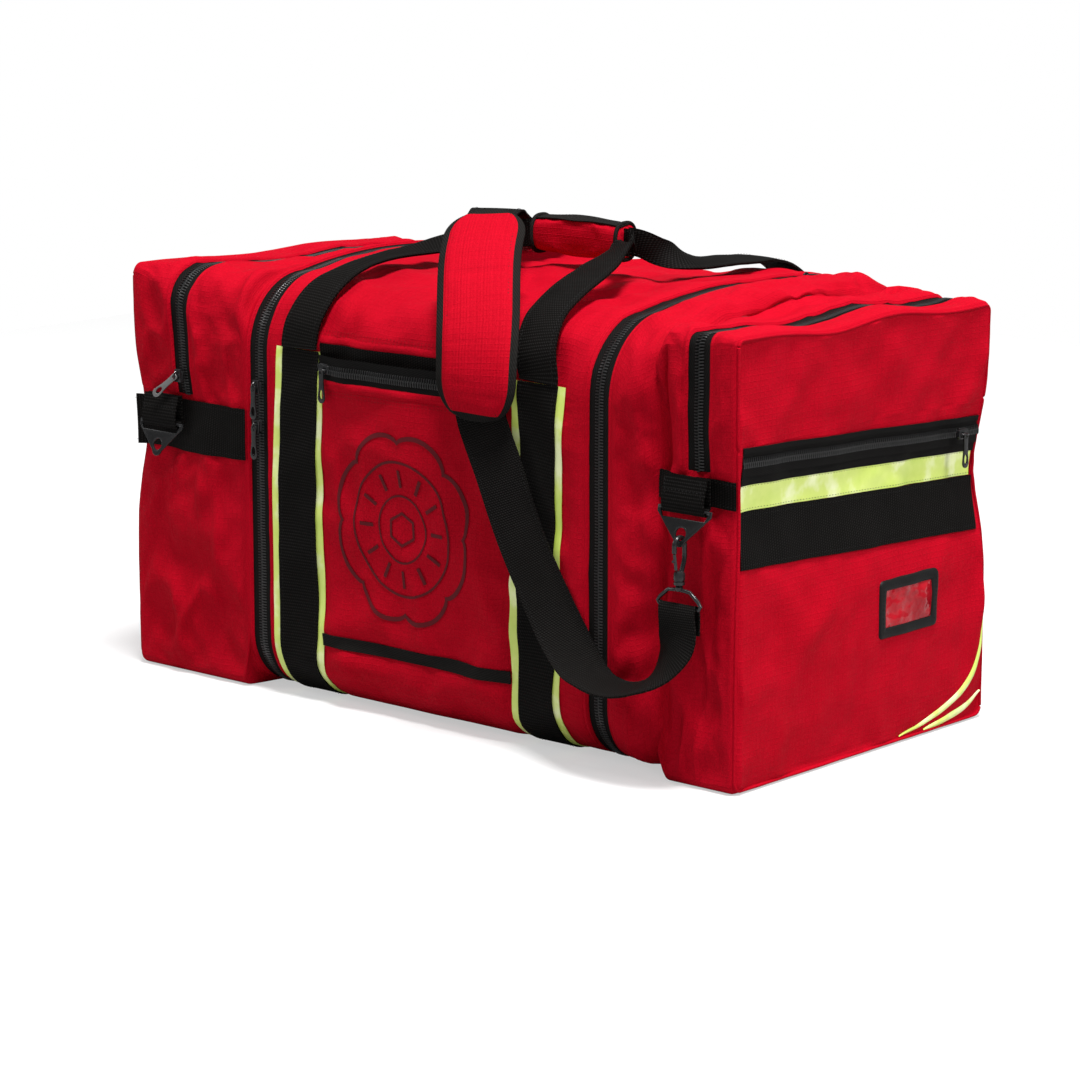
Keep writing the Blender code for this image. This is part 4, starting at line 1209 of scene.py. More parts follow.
def make_bands(skins, mats):
    """Black webbing and lime bands across the end pockets."""
    out = []
    low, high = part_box("left_front_band")
    z = (low.z + high.z) / 2
    y = -HALF_W
    ends = ((low.x - 0.012, y, z - 0.002), (high.x, y, z))
    grid, ns = face_strip("left_front_band_sewn", skins[-1], ends, FRONT, high.z - low.z, 0.0015, mats["web"],
                          "black_webbing", "left_end", "left_front_band")
    out.append(("left_end", edge_lines(grid, ns, 0.08)))
    low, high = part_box("right_front_band")
    z = (low.z + high.z) / 2
    ends = ((low.x - 0.002, y, z + 0.001), (HALF_L - 0.003, y, z - 0.001))
    grid, ns = face_strip("right_front_band_sewn", skins[1], ends, FRONT, high.z - low.z, 0.0015, mats["web"],
                          "black_webbing", "right_end", "right_front_band")
    out.append(("right_end", edge_lines(grid, ns, 0.1)))
    front_reach, back_reach = HALF_W - 0.010, HALF_W - 0.013
    for node, side, mat, slot, thick in (("left_end_band", -1, "web", "black_webbing", 0.0015),
                                         ("end_webbing", 1, "web", "black_webbing", 0.0015),
                                         ("end_reflective_band", 1, "lime", "reflective", 0.0010)):
        z, drop, wide = band_line(node)
        ends = ((side * HALF_L, -front_reach, z + drop / 2), (side * HALF_L, back_reach, z - drop / 2))
        grid, ns = face_strip(node + "_sewn", skins[side], ends, (side, 0, 0), wide, thick, mats[mat], slot,
                              WORD[side] + "_end", node)
        out.append((WORD[side] + "_end", edge_lines(grid, ns, 0.08)))
    for k, (body, lines) in enumerate(out):
        stitch_mesh("band_stitches_%d" % k, lines, mats["thread_black"], "black_webbing", body)


def band_line(node):
    """Middle height, fall from front to back and width of a band on an end face."""
    low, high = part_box(node)
    slope = END_SLOPE if node != "left_end_band" else 0.0
    fall = slope * (high.y - low.y)
    width = high.z - low.z - fall
    return (low.z + high.z) / 2, slope * 2 * (HALF_W - 0.011), width


# ------------------------------------------------------------------ front pocket and end zip

def straight_zip(name, skin, ends, axis, half, body, mats, node):
    """A closed zip on a face: two tapes that meet at a row of teeth."""
    path, normals = straight_line(ends, axis, 60)
    side = unit_rows(np.cross(path[-1:] - path[:1], normals))
    base, _ = strip_base(path, normals, half * 1.7, 5)
    tops = heights_on(skin, base, np.repeat(normals[:, None], 5, 1)).max(axis=1, keepdims=True)
    path = path + normals * (np.maximum(relax(tops, 4), tops) + 0.0010)
    above, below = path - side * half, path + side * half
    zip_half(name, above, below, normals, body, mats, 0.0, node)
    zip_half(name + "_lower", below, above, normals, body, mats, 0.5)


def ridge(name, skin, ends, axis, width, height, mat):
    """A soft rolled edge of cloth along a line on a face of the body."""
    path, normals = straight_line(ends, axis, 60)
    base, uvs = strip_base(path, normals, width, 9)
    wide = np.repeat(normals[:, None], 9, 1)
    raised = height * np.sqrt(np.clip(1 - np.linspace(-1, 1, 9) ** 2, 0, 1))
    lift = relax(heights_on(skin, base, wide), 2) + raised[None, :] - 0.0003
    belong(strip_object(name, base + wide * lift[:, :, None], uvs, 0, mat), "red_fabric", "root")


def make_front_pocket(skin, mats):
    """Pocket mouth between the carrying webbings: cover flap, zip, hem, stitches and a lower band."""
    low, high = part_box("front_pocket_zip")
    y, z = -HALF_W, (low.z + high.z) / 2

    def line(dz):
        return (low.x, y, z + dz), (high.x, y, z + dz)

    straight_zip("front_pocket_zip_tape", skin, line(0), FRONT, 0.0105, "root", mats, "front_pocket_zip")
    face_strip("front_pocket_band", skin, line(0.0160), FRONT, 0.0150, 0.0012, mats["web"], "zip_tape",
               "root")
    ridge("front_pocket_cover", skin, line(0.0265), FRONT, 0.0090, 0.0016, mats["red"])
    ridge("front_pocket_hem", skin, line(-0.0140), FRONT, 0.0090, 0.0018, mats["red"])
    band_low, band_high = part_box("lower_band")
    z_band = (band_low.z + band_high.z) / 2
    ends = ((band_low.x, y, z_band), (band_high.x, y, z_band))
    face_strip("lower_band_sewn", skin, ends, FRONT, band_high.z - band_low.z, 0.0012, mats["binding"],
               "black_webbing", "root", "lower_band")
    lines = []
    for dz in (0.0320, 0.0355, -0.0200, -0.0235):
        pts = np.array([(x, y, z + dz) for x in np.linspace(low.x, high.x, 80)])
        lines.append(on_skin(skin, pts, FRONT, 0.0006))
    stitch_mesh("front_pocket_stitches", lines, mats["thread"], "red_fabric", "root")


def on_skin(skin, points, axis, lift):
    """Points moved on to a skin and a little above it, with their normals."""
    normals = np.tile(np.array(axis, float), (len(points), 1))
    heights = np.array([skin.height(p, axis) for p in points])
    return points + normals * (heights[:, None] + lift), normals


def make_end_zip(skin, mats):
    """The zip across the right end face, with rolled cloth above and below it."""
    low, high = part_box("end_pocket_zip")
    fall = END_SLOPE * (high.y - low.y)
    width = high.z - low.z - fall
    z, reach = (low.z + high.z) / 2, HALF_W - 0.010
    a = (HALF_L, -reach, z + END_SLOPE * reach)
    b = (HALF_L, reach, z - END_SLOPE * reach)
    straight_zip("end_pocket_zip_tape", skin, (a, b), RIGHT, width / 2, "right_end", mats, "end_pocket_zip")
    for tag, dz, wide in (("lower", -width / 2 - 0.0045, 0.0115), ("upper", width / 2 + 0.0010, 0.0050)):
        ends = ((a[0], a[1], a[2] + dz), (b[0], b[1], b[2] + dz))
        face_strip("end_zip_trim_" + tag, skin, ends, RIGHT, wide, 0.0012, mats["tape"], "zip_tape",
                   "right_end")


# ------------------------------------------------------------------ small round and printed things

def rounded_rectangle(per_corner, half_a, half_b, radius):
    """Closed outline with the same number of points whatever its size."""
    pts = []
    for k, (sa, sb) in enumerate(((1, 1), (-1, 1), (-1, -1), (1, -1))):
        centre = np.array((sa * (half_a - radius), sb * (half_b - radius)))
        for i in range(per_corner):
            a = math.pi / 2 * (k + i / (per_corner - 1))
            pts.append(centre + radius * np.array((math.cos(a), math.sin(a))))
    corners = pts + [pts[0]]
    outline = []
    for k, (p, q) in enumerate(zip(corners[:-1], corners[1:])):
        steps = 12 if k % per_corner == per_corner - 1 else 1
        outline += [p + (q - p) * i / steps for i in range(steps)]
    return np.array(outline)


def ring_patch(name, skin, rings, place, axis, mat, slot, body, *nodes, smooth=True, fill=False):
    """Closed loops of (outline, height) laid on a skin; place maps a 2D point to the nominal face."""
    rows = []
    for outline, lift in rings:
        pts = np.array([place(u, v) for u, v in outline])
        heights = np.array([skin.height(p, axis) for p in pts])
        rows.append(pts + np.array(axis)[None] * (heights + lift)[:, None])
    count = len(rings[0][0])
    verts = list(np.concatenate(rows))
    uvs = list(np.concatenate([outline for outline, _ in rings]))
    faces = [tuple(f[::-1]) for f in grid_faces(len(rings), count, True)]
    if fill:
        verts.append(rows[-1].mean(axis=0))
        uvs.append(np.mean(rings[-1][0], axis=0))
        base, middle = (len(rings) - 1) * count, len(verts) - 1
        faces += [(base + (i + 1) % count, base + i, middle) for i in range(count)]
    obj = mesh_object(name, verts, faces, uvs, [mat])
    aim_faces(obj, axis)
    if smooth:
        subdivide(obj)
    else:
        freeze(obj)
    belong(obj, slot, body, *nodes)


def make_id_window(skin, mats):
    """Vinyl edging with rounded corners round a soft clear window."""
    low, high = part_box("id_frame")
    cy, cz = (low.y + high.y) / 2, (low.z + high.z) / 2
    a, b = (high.y - low.y) / 2, (high.z - low.z) / 2
    edging = 0.0098
    rings = []

    def place(u, v):
        return HALF_L, cy + u, cz + v

    for inset, lift in ((0.0, -0.0004), (0.0004, 0.0014), (0.0018, 0.0022), (0.0050, 0.0024),
                        (0.0085, 0.0022), (0.0098, 0.0015), (0.0102, 0.0004)):
        rings.append((rounded_rectangle(6, a - inset, b - inset, max(0.0012, 0.0055 - inset * 0.5)), lift))
    ring_patch("id_frame_edging", skin, rings, place, RIGHT, mats["vinyl"], "vinyl", "right_end", "id_frame")
    rings = []
    for t in (1.0, 0.86, 0.7, 0.5, 0.3, 0.12):
        outline = rounded_rectangle(6, (a - edging) * t, (b - edging) * t, 0.0012)
        rings.append((outline, 0.0006 + 0.0016 * (1 - t ** 2)))
    ring_patch("id_window_film", skin, rings, place, RIGHT, mats["clear"], "clear_window", "right_end",
               "id_window", fill=True)
    line = rounded_rectangle(6, a - 0.0050, b - 0.0050, 0.0040)
    pts = np.array([place(u, v) for u, v in np.vstack([line, line[:1]])])
    stitch_mesh("id_frame_stitches", [on_skin(skin, pts, RIGHT, 0.0025)], mats["thread_black"], "vinyl",
                "right_end")


BADGE = (-0.013, 0.186)
BADGE_SQUASH = 0.92


def polar_ring(count, radius, depth=0.0, lobes=1):
    """Closed outline of the badge: an upright ellipse, with lobes if it has a depth."""
    turns = np.linspace(0, 2 * math.pi, count, endpoint=False)
    r = radius + depth * np.abs(np.sin(turns * lobes / 2)) ** 0.7
    return np.stack([r * np.sin(turns) * BADGE_SQUASH, r * np.cos(turns)], axis=1)


def make_badge(skin, mats):
    """Plain geometric print on the front: a scalloped ring, an inner ring, ticks and a hexagon."""
    print_lift = 0.0007

    def place(u, v):
        return BADGE[0] + u, -HALF_W, BADGE[1] + v

    def band(name, outer, inner):
        ring_patch(name, skin, [(outer, print_lift), (inner, print_lift)], place, FRONT, mats["print"],
                   "red_fabric", "root", smooth=False)

    band("badge_scallops", polar_ring(240, 0.085, 0.0095, 8), polar_ring(240, 0.0805, 0.0095, 8))
    band("badge_ring", polar_ring(160, 0.066), polar_ring(160, 0.0635))
    band("badge_core", polar_ring(120, 0.033), polar_ring(120, 0.0310))
    hexagon = np.array([(math.sin(a), math.cos(a)) for a in (math.pi * k / 3 for k in range(7))])
    shares = np.linspace(0, 1, 10)[:-1, None]
    outline = np.concatenate([a + (b - a) * shares for a, b in zip(hexagon[:-1], hexagon[1:])])
    band("badge_hexagon", outline * 0.017, outline * 0.0140)
    for k in range(12):
        a = math.pi * k / 6
        out = np.array((math.sin(a) * BADGE_SQUASH, math.cos(a)))
        across = np.array((math.cos(a), -math.sin(a)))
        quad = [out * 0.040 - across * 0.0018, out * 0.057 - across * 0.0018,
                out * 0.057 + across * 0.0018, out * 0.040 + across * 0.0018]
        pts = np.array([place(*q) for q in quad])
        line, _ = on_skin(skin, pts, FRONT, print_lift)
        tick = mesh_object("badge_tick_%02d" % k, line, [(0, 1, 2, 3)], quad, [mats["print"]])
        aim_faces(tick, FRONT)
        belong(tick, "red_fabric", "root")


# ------------------------------------------------------------------ tubes and pipings

def tube(name, points, radius, mat, slot, body, sides=8, closed=False, up=(0, 0, 1)):
    """A round bar or cord; radius is a number or one number for each point."""
    points = np.asarray(points, float)
    count = len(points)
    if closed:
        along = unit_rows(np.roll(points, -1, 0) - np.roll(points, 1, 0))
    else:
        along = unit_rows(np.gradient(points, axis=0))
    up = np.tile(np.array(up, float), (count, 1))
    side = np.cross(along, up)
    weak = np.linalg.norm(side, axis=1) < 0.2
    side[weak] = np.cross(along[weak], np.tile((0, 1.0, 0.3), (weak.sum(), 1)))
    side = unit_rows(side)
    lift = np.cross(side, along)
    turns = np.linspace(0, 2 * math.pi, sides, endpoint=False)
    radius = np.broadcast_to(np.asarray(radius, float), (count,))
    grid = (points[:, None] + side[:, None] * (np.cos(turns)[None, :] * radius[:, None])[:, :, None]
            + lift[:, None] * (np.sin(turns)[None, :] * radius[:, None])[:, :, None])
    run = run_length(points)
    uvs = np.stack([np.tile(turns * 0.002, (count, 1)), np.repeat(run[:, None], sides, 1)], axis=2)
    faces = grid_faces(count, sides, True)
    if closed:
        last = (count - 1) * sides
        faces += [(last + j, last + (j + 1) % sides, (j + 1) % sides, j) for j in range(sides)]
    else:
        faces.append(tuple(range(sides)))
        faces.append(tuple((count - 1) * sides + j for j in range(sides))[::-1])
    obj = mesh_object(name, grid.reshape(-1, 3), faces, uvs.reshape(-1, 2), [mat])
    recalc_faces(obj)
    subdivide(obj)
    belong(obj, slot, body)


def make_welts(side, surface, mats):
    """Sewn edge round an end face: on the tub below the fold, on the flap above it."""
    word = WORD[side]
    rim = surface[-1]
    row = FLAP_ROW[side]
    lower = [k % LOOP for k in range(LOOP - row, LOOP + row + 1)]
    upper = list(range(row, LOOP - row + 1))
    for tag, rows, body in (("tub", lower, "_end"), ("flap", upper, "_flap")):
        pts = rim[rows].copy()
        pts[:, 2] = np.maximum(pts[:, 2], 0.0022)
        wobble = 0.0004 * fractal(pts, 60.0, 31)
        tube("%s_%s_welt" % (word, tag), pts, 0.0016 + wobble, mats["red"], "red_fabric", word + body)


def make_corner_pipings(skin, mats):
    """Two lime pipings that curve up the lower back corner of the right end."""
    high = ((0.057, 0.006), (0.100, 0.013), (0.140, 0.026), (0.168, 0.044), (0.182, 0.070), (0.186, 0.108))
    low = ((0.095, 0.005), (0.130, 0.009), (0.160, 0.015), (0.186, 0.026))
    for k, knots in enumerate((high, low)):
        path = catmull([(HALF_L, y, z) for y, z in knots], 10)
        wide = 0.0072 * np.sin(np.pi * np.linspace(0.02, 0.94, len(path))) ** 0.7
        normals = np.tile((1.0, 0, 0), (len(path), 1))
        base, uvs = strip_base(path, normals, wide, 5)
        wide_n = np.repeat(normals[:, None], 5, 1)
        bow = 0.0012 * (1 - np.linspace(-1, 1, 5) ** 2)
        lift = relax(heights_on(skin, base, wide_n), 2) + bow[None, :] + 0.0002
        grid = base + wide_n * lift[:, :, None]
        belong(strip_object("corner_piping_%d" % k, grid, uvs, 0, mats["lime"]), "reflective", "right_end")


def catmull(points, steps):
    """Catmull-Rom curve through points, as an array."""
    points = [Vector(p) for p in points]
    result, last = [], len(points) - 1
    for i in range(last):
        p0, p1, p2, p3 = points[max(i - 1, 0)], points[i], points[i + 1], points[min(i + 2, last)]
        for k in range(steps):
            t = k / steps
            result.append(0.5 * ((2 * p1) + (p2 - p0) * t + (2 * p0 - 5 * p1 + 4 * p2 - p3) * t * t
                                 + (3 * p1 - p0 - 3 * p2 + p3) * t ** 3))
    result.append(points[last])
    return np.array([tuple(p) for p in result])


# ------------------------------------------------------------------ handles, strap and pad

WEB_THICK = 0.0018


def handle_stations(face):
    """One carrying handle, from the left webbing over the grip to the right webbing."""
    root = [(0.344, 0.1926, (0, -1, 0.0)), (0.351, 0.1921, (0, -1, 0.0))]
    if face > 0:
        lean = WEB_LEAN
        left = [(-0.143, -0.1868, 0.3720, (0, -0.9, 0.45)), (-0.140, -0.1650, 0.3975, (0, -0.6, 0.8)),
                (-0.136, -0.1300, 0.4140, (0, -0.3, 0.95)), (-0.128, -0.0900, 0.4230, (0, -0.35, 0.9)),
                (-0.112, -0.0500, 0.4290, (0, -0.6, 0.8)), (-0.085, -0.0220, 0.4350, (0, -0.8, 0.55)),
                (-0.045, -0.0080, 0.4420, (0, -1, 0.1))]
        right = [(0.152, -0.1900, 0.3720, (0, -0.9, 0.45)), (0.145, -0.1700, 0.3985, (0, -0.7, 0.7)),
                 (0.137, -0.1320, 0.4160, (0, -0.5, 0.85)), (0.128, -0.0900, 0.4280, (0, -0.55, 0.8)),
                 (0.118, -0.0460, 0.4400, (0.05, -0.7, 0.7)), (0.108, -0.0160, 0.4470, (0.05, -0.9, 0.4))]
    else:
        lean = 0.0
        left = [(-0.152, -0.1960, 0.3740, (0, -0.9, 0.40)), (-0.152, -0.1790, 0.4060, (0, -0.6, 0.8)),
                (-0.150, -0.1400, 0.4240, (0, -0.1, 1)), (-0.140, -0.0900, 0.4290, (0, 0, 1)),
                (-0.118, -0.0460, 0.4320, (0, 0, 1)), (-0.085, -0.0200, 0.4360, (0, 0.3, 0.9)),
                (-0.045, -0.0080, 0.4420, (0, 0.8, 0.5))]
        right = [(0.150, -0.1965, 0.3740, (0, -0.9, 0.40)), (0.151, -0.1800, 0.4040, (0, -0.5, 0.85)),
                 (0.150, -0.1440, 0.4220, (0, 0.25, 0.97)), (0.147, -0.0980, 0.4250, (0, 0.5, 0.87)),
                 (0.142, -0.0560, 0.4270, (0, 0.65, 0.75)), (0.128, -0.0190, 0.4370, (0, 0.9, 0.4))]
    middle = [(x, -0.0040, 0.4475, (0, -face, 0)) for x in (-0.015, 0.040, 0.104)]
    start = [(-0.152 + lean, -y, z, n) for z, y, n in root]
    stop = [(0.150 + lean, -y, z, n) for z, y, n in root]
    rows = start + left + middle + right[::-1] + stop[::-1]
    return [((x, face * y, z), (n[0], face * n[1], n[2])) for x, y, z, n in rows]


def smooth_line(stations, steps, pitch):
    """Even points and normals along the curve through (point, normal) stations."""
    points, normals = zip(*stations)
    return resample(catmull(points, steps), pitch, catmull(normals, steps))


def ribbon_grid(stations, width, steps, camber, cols=9):
    """Grid of a flat strip through (point, normal) stations; width is a function of run share."""
    points, normals = smooth_line(stations, steps, 0.005)
    normals = unit_rows(normals)
    wide = np.array([width(t) for t in np.linspace(0, 1, len(points))])
    base, uvs = strip_base(points, normals, wide, cols)
    across = np.linspace(-1, 1, cols)
    grid = base + normals[:, None] * (camber * (1 - across ** 2))[None, :, None]
    return grid, uvs, normals


def wavy(grid, normals, amount, seed):
    """Soft ripples along a strip, none at its two ends."""
    rows = len(grid)
    flat = fractal(grid.reshape(-1, 3), 16.0, seed).reshape(grid.shape[:2])
    ease = np.sin(np.pi * np.linspace(0, 1, rows)) ** 0.5
    return grid + normals[:, None] * (flat * amount * ease[:, None])[:, :, None]


def handle_width(t):
    """Full webbing width where sewn, folded towards the grip."""
    fold = float(smooth_step(0.07, 0.22, t) * (1 - smooth_step(0.66, 0.78, t)))
    return 0.045 - 0.019 * fold


def make_handles(mats):
    """Both carrying handles, shaped in a curve between the body and the grip."""
    for face, node in ((1, "handle_front"), (-1, "handle_rear")):
        grid, uvs, normals = ribbon_grid(handle_stations(face), handle_width, 8, 0.0012)
        grid = wavy(grid, normals, 0.0016, 41 + face)
        obj = strip_object(node + "_webbing", grid, uvs, 0.0022, mats["web"], offset=0.0)
        lines = edge_lines(grid + normals[:, None] * 0.0016, normals, 0.1)
        sew = build_stitches(node + "_stitches", lines, mats["thread_black"])
        for piece in (obj, sew):
            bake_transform(piece)
        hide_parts(node)


PAD_PATH = [((0.102, -0.2165, 0.306), (0.35, -0.93, 0.05)), ((0.106, -0.2190, 0.352), (0.38, -0.9, 0.18)),
            ((0.094, -0.2030, 0.395), (0.42, -0.75, 0.5)), ((0.055, -0.1570, 0.445), (0.3, -0.55, 0.8)),
            ((0.021, -0.1060, 0.4780), (0.15, -0.35, 0.93))]
LOOP_RUN = [((0.146, 0.2020, 0.200), (0.45, 0.9, 0)), ((0.182, 0.2035, 0.142), (0.42, 0.88, 0.2)),
            ((0.213, 0.2090, 0.108), (0.35, 0.6, 0.7)), ((0.240, 0.2150, 0.090), (0.12, 0.16, 0.98)),
            ((0.270, 0.2170, 0.084), (0.0, 0.10, 1.0)), ((0.300, 0.2160, 0.093), (-0.3, 0.26, 0.92)),
            ((0.322, 0.2110, 0.114), (-0.38, 0.80, 0.5)), ((0.332, 0.2080, 0.138), (-0.1, 1, 0.1)),
            ((0.332, 0.2060, 0.155), (0, 1, 0))]
FRONT_TOP = [((0.099, -0.2085, 0.322), (0.45, -0.88, 0.05)), ((0.104, -0.2080, 0.302), (0.45, -0.88, 0)),
             ((0.122, -0.2050, 0.258), (0.45, -0.88, 0))]
BACK_TOP = [((0.028, -0.1130, 0.4745), (0.1, -0.2, 1)), ((0.010, -0.0860, 0.4775), (0.05, 0, 1)),
            ((-0.024, -0.0420, 0.4715), (0, 0, 1)), ((-0.055, 0.0, 0.4620), (0, 0.1, 1)),
            ((-0.082, 0.050, 0.4480), (0, 0.25, 0.95)), ((-0.102, 0.110, 0.4400), (0, 0.25, 0.95)),
            ((-0.114, 0.168, 0.4230), (0, 0.6, 0.8)), ((-0.119, 0.1985, 0.385), (0, 1, 0.3)),
            ((-0.122, 0.1995, 0.340), (-0.1, 1, 0)), ((-0.130, 0.2000, 0.270), (-0.3, 0.95, 0))]
STRAP_WIDE = 0.046
PAD_WIDE = 0.077
PAD_THICK = 0.011
PAD_END_ROWS = 2


def strap_runs():
    """Stations of both strap runs; each ends folded over the bar of its swivel eye."""
    bar, wrap = -HOOK_Y, 0.0036
    fold = [((TAB_X, bar + wrap, EYE_Z - 0.004), (0, 1, 0)), ((TAB_X, bar, EYE_Z + wrap), (0, 0, 1)),
            ((TAB_X, bar - wrap, EYE_Z - 0.004), FRONT), ((TAB_X, bar - wrap, EYE_Z - 0.024), FRONT)]
    run = LOOP_RUN[:-1] + fold
    front = FRONT_TOP + [((x, -y, z), (nx, -ny, nz)) for (x, y, z), (nx, ny, nz) in run]
    back = BACK_TOP + [((-x, y, z), (-nx, ny, nz)) for (x, y, z), (nx, ny, nz) in run]
    return front, back


def strap_width(t):
    """Full width, drawn in a little where it is folded over the eye."""
    return STRAP_WIDE - 0.006 * float(smooth_step(0.84, 0.92, t))


def make_strap(mats):
    """Two runs of strap webbing, each running to the hook at one end of the bag."""
    front, back = strap_runs()
    for node, run, end, x0, x1, seed in (("strap_front", front, "right_end", 0.205, 0.262, 51),
                                         ("strap_back", back, "left_end", -0.190, -0.262, 53)):
        grid, uvs, normals = ribbon_grid(run, strap_width, 10, 0.0004)
        grid = wavy(grid, normals, 0.0010, seed)
        face = 1 if end == "right_end" else -1
        clear = np.abs(grid[:, :, 0]) < HALF_L
        stand_off = HALF_W + 0.0045
        near = clear & (grid[:, :, 2] < 0.36) & (grid[:, :, 1] * -face < stand_off)
        near &= np.linspace(0, 1, len(grid))[:, None] < 0.86
        grid[:, :, 1] = np.where(near, -face * stand_off, grid[:, :, 1])
        obj = strip_object(node + "_webbing", grid, uvs, WEB_THICK, mats["web_grey"], offset=0.0)
        flat_part = int(len(grid) * 0.82)
        raised = (grid + normals[:, None] * 0.0012)[:flat_part]
        sew = build_stitches(node + "_stitches", edge_lines(raised, normals[:flat_part], 0.08),
                             mats["thread_black"])
        for piece in (obj, sew):
            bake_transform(piece)
        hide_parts(node)


def loft_tube(name, rings, uvs, mats, slots):
    """Closed form through equal rings with a fan at each end. slots gives a material for each column."""
    rings = np.asarray(rings)
    rows, cols = rings.shape[:2]
    verts = list(rings.reshape(-1, 3))
    faces = grid_faces(rows, cols, True)
    index = [slots[k % cols] for k in range((rows - 1) * cols)]
    all_uvs = list(np.asarray(uvs).reshape(-1, 2))
    for row in (0, rows - 1):
        verts.append(rings[row].mean(axis=0))
        all_uvs.append(all_uvs[row * cols])
        faces += [(row * cols + j, row * cols + (j + 1) % cols, len(verts) - 1) for j in range(cols)]
        index += [0] * cols
    obj = mesh_object(name, verts, faces, all_uvs, mats, index)
    recalc_faces(obj)
    return obj


def pad_half(run, length):
    """Half width of the shoulder pad at a distance along it; its ends are rounded."""
    edge = min(run, length - run, PAD_WIDE / 2) / (PAD_WIDE / 2)
    return PAD_WIDE / 2 * (0.30 + 0.70 * math.sqrt(1 - (1 - edge) ** 2))


def make_pad(mats):
    """Shoulder pad: stuffed ripstop with sewn ribs across it and a black binding round its edge."""
    points, normals = smooth_line(PAD_PATH, 14, 0.0040)
    along = unit_rows(np.gradient(points, axis=0))
    side = unit_rows(np.cross(along, unit_rows(normals)))
    normals = np.cross(side, along)
    run = run_length(points)
    cols = 40
    turns = np.linspace(0, 2 * math.pi, cols, endpoint=False)
    c, s = np.cos(turns), np.sin(turns)
    u = np.sign(c) * np.abs(c) ** 0.55
    v = np.sign(s) * np.abs(s) ** 0.75
    rim = np.abs(u) > 0.76
    rings, uvs, pins = [], [], []
    for p, a, n, r in zip(points, side, normals, run):
        edge = min(r, run[-1] - r) / (PAD_WIDE / 2)
        half = pad_half(r, run[-1])
        thick = PAD_THICK / 2 * (0.80 + 0.20 * min(1.0, edge * 2))
        lift = np.where(rim, 0.62, 1.0) * v * thick
        rings.append(p + np.outer(u * half, a) + np.outer(lift, n))
        uvs.append(np.stack([u * half, np.full(cols, r)], axis=1))
        pins.append(np.where(rim, 1.0, 0.0))
    slots = [1 if rim[k] and rim[(k + 1) % cols] else 0 for k in range(cols)]
    obj = loft_tube("shoulder_pad_cushion", rings, uvs, [mats["red_pad"], mats["binding"]], slots)
    bound = np.zeros(len(obj.data.polygons), np.int32)
    obj.data.polygons.foreach_get("material_index", bound)
    end_faces = PAD_END_ROWS * cols
    bound[:end_faces] = 1
    bound[(len(run) - 1) * cols - end_faces:] = 1
    obj.data.polygons.foreach_set("material_index", bound)
    weights = np.concatenate(pins + [np.ones(2)])
    weights[:cols * 2] = 1
    weights[-cols * 2 - 2:] = 1
    settle(obj, weights, 0.01, 3.5, 14, 0.0035)
    subdivide(obj)
    belong(obj, "red_fabric", "root", "shoulder_pad")
    lines = []
    for share in (-0.73, 0.73):
        half = np.array([pad_half(r, run[-1]) for r in run])
        lines.append((points + side * (half * share)[:, None] + normals * (PAD_THICK * 0.40), normals))
    stitch_mesh("shoulder_pad_stitches", lines, mats["thread_black"], "black_webbing", "root")


def make_grip(mats):
    """Padded sleeve round both handles, closed along its top, with bound ends."""
    low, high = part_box("grip_wrap")
    cx, cz = (low.x + high.x) / 2, (low.z + high.z) / 2
    half_y, half_z = (high.y - low.y) / 2, (high.z - low.z) / 2
    cols, rows = 36, 27
    turns = np.linspace(0, 2 * math.pi, cols, endpoint=False)
    c, s = np.cos(turns), np.sin(turns)
    u, v = np.sign(c) * np.abs(c) ** 0.75, np.sign(s) * np.abs(s) ** 0.75
    rings, uvs = [], []
    for t in np.linspace(-1, 1, rows):
        end = 1 - 0.10 * abs(t) ** 6
        x = cx + t * (high.x - low.x) / 2
        waist = 1 - 0.05 * math.cos(t * math.pi)
        rings.append([(x, u[k] * half_y * 0.90 * end * waist, cz + v[k] * half_z * 0.92 * end)
                      for k in range(cols)])
        uvs.append([(k * 0.003, x) for k in range(cols)])
    obj = loft_tube("grip_wrap_sleeve", rings, uvs, [mats["red"]], [0] * cols)
    edge = np.abs(coords(obj)[:, 0] - cx) > (high.x - low.x) / 2 - 0.010
    settle(obj, edge.astype(float), 0.015, 2.5, 14, 0.0030)
    subdivide(obj)
    belong(obj, "red_fabric", "grip", "grip_wrap")
    sleeve = Skin([obj])
    path = np.array([(x, -0.0035, high.z) for x in np.linspace(low.x + 0.001, high.x - 0.001, 30)])
    up = np.tile((0.0, 0, 1), (30, 1))
    grid, ns = laid_strip("grip_flap_binding", sleeve, path, up, 0.012, 0.0012, mats["binding"],
                          "black_webbing", "grip", cols=5)
    stitch_mesh("grip_stitches", edge_lines(grid, ns, 0.2), mats["thread_black"], "black_webbing", "grip")
    for k, sign in enumerate((-1, 1)):
        x = cx + sign * ((high.x - low.x) / 2 - 0.0035)
        pts = np.array([(x, u[j] * half_y * 0.93, cz + v[j] * half_z * 0.95) for j in range(cols)])
        tube("grip_end_binding_%d" % k, pts, 0.0022, mats["binding"], "black_webbing", "grip", closed=True,
             up=RIGHT)


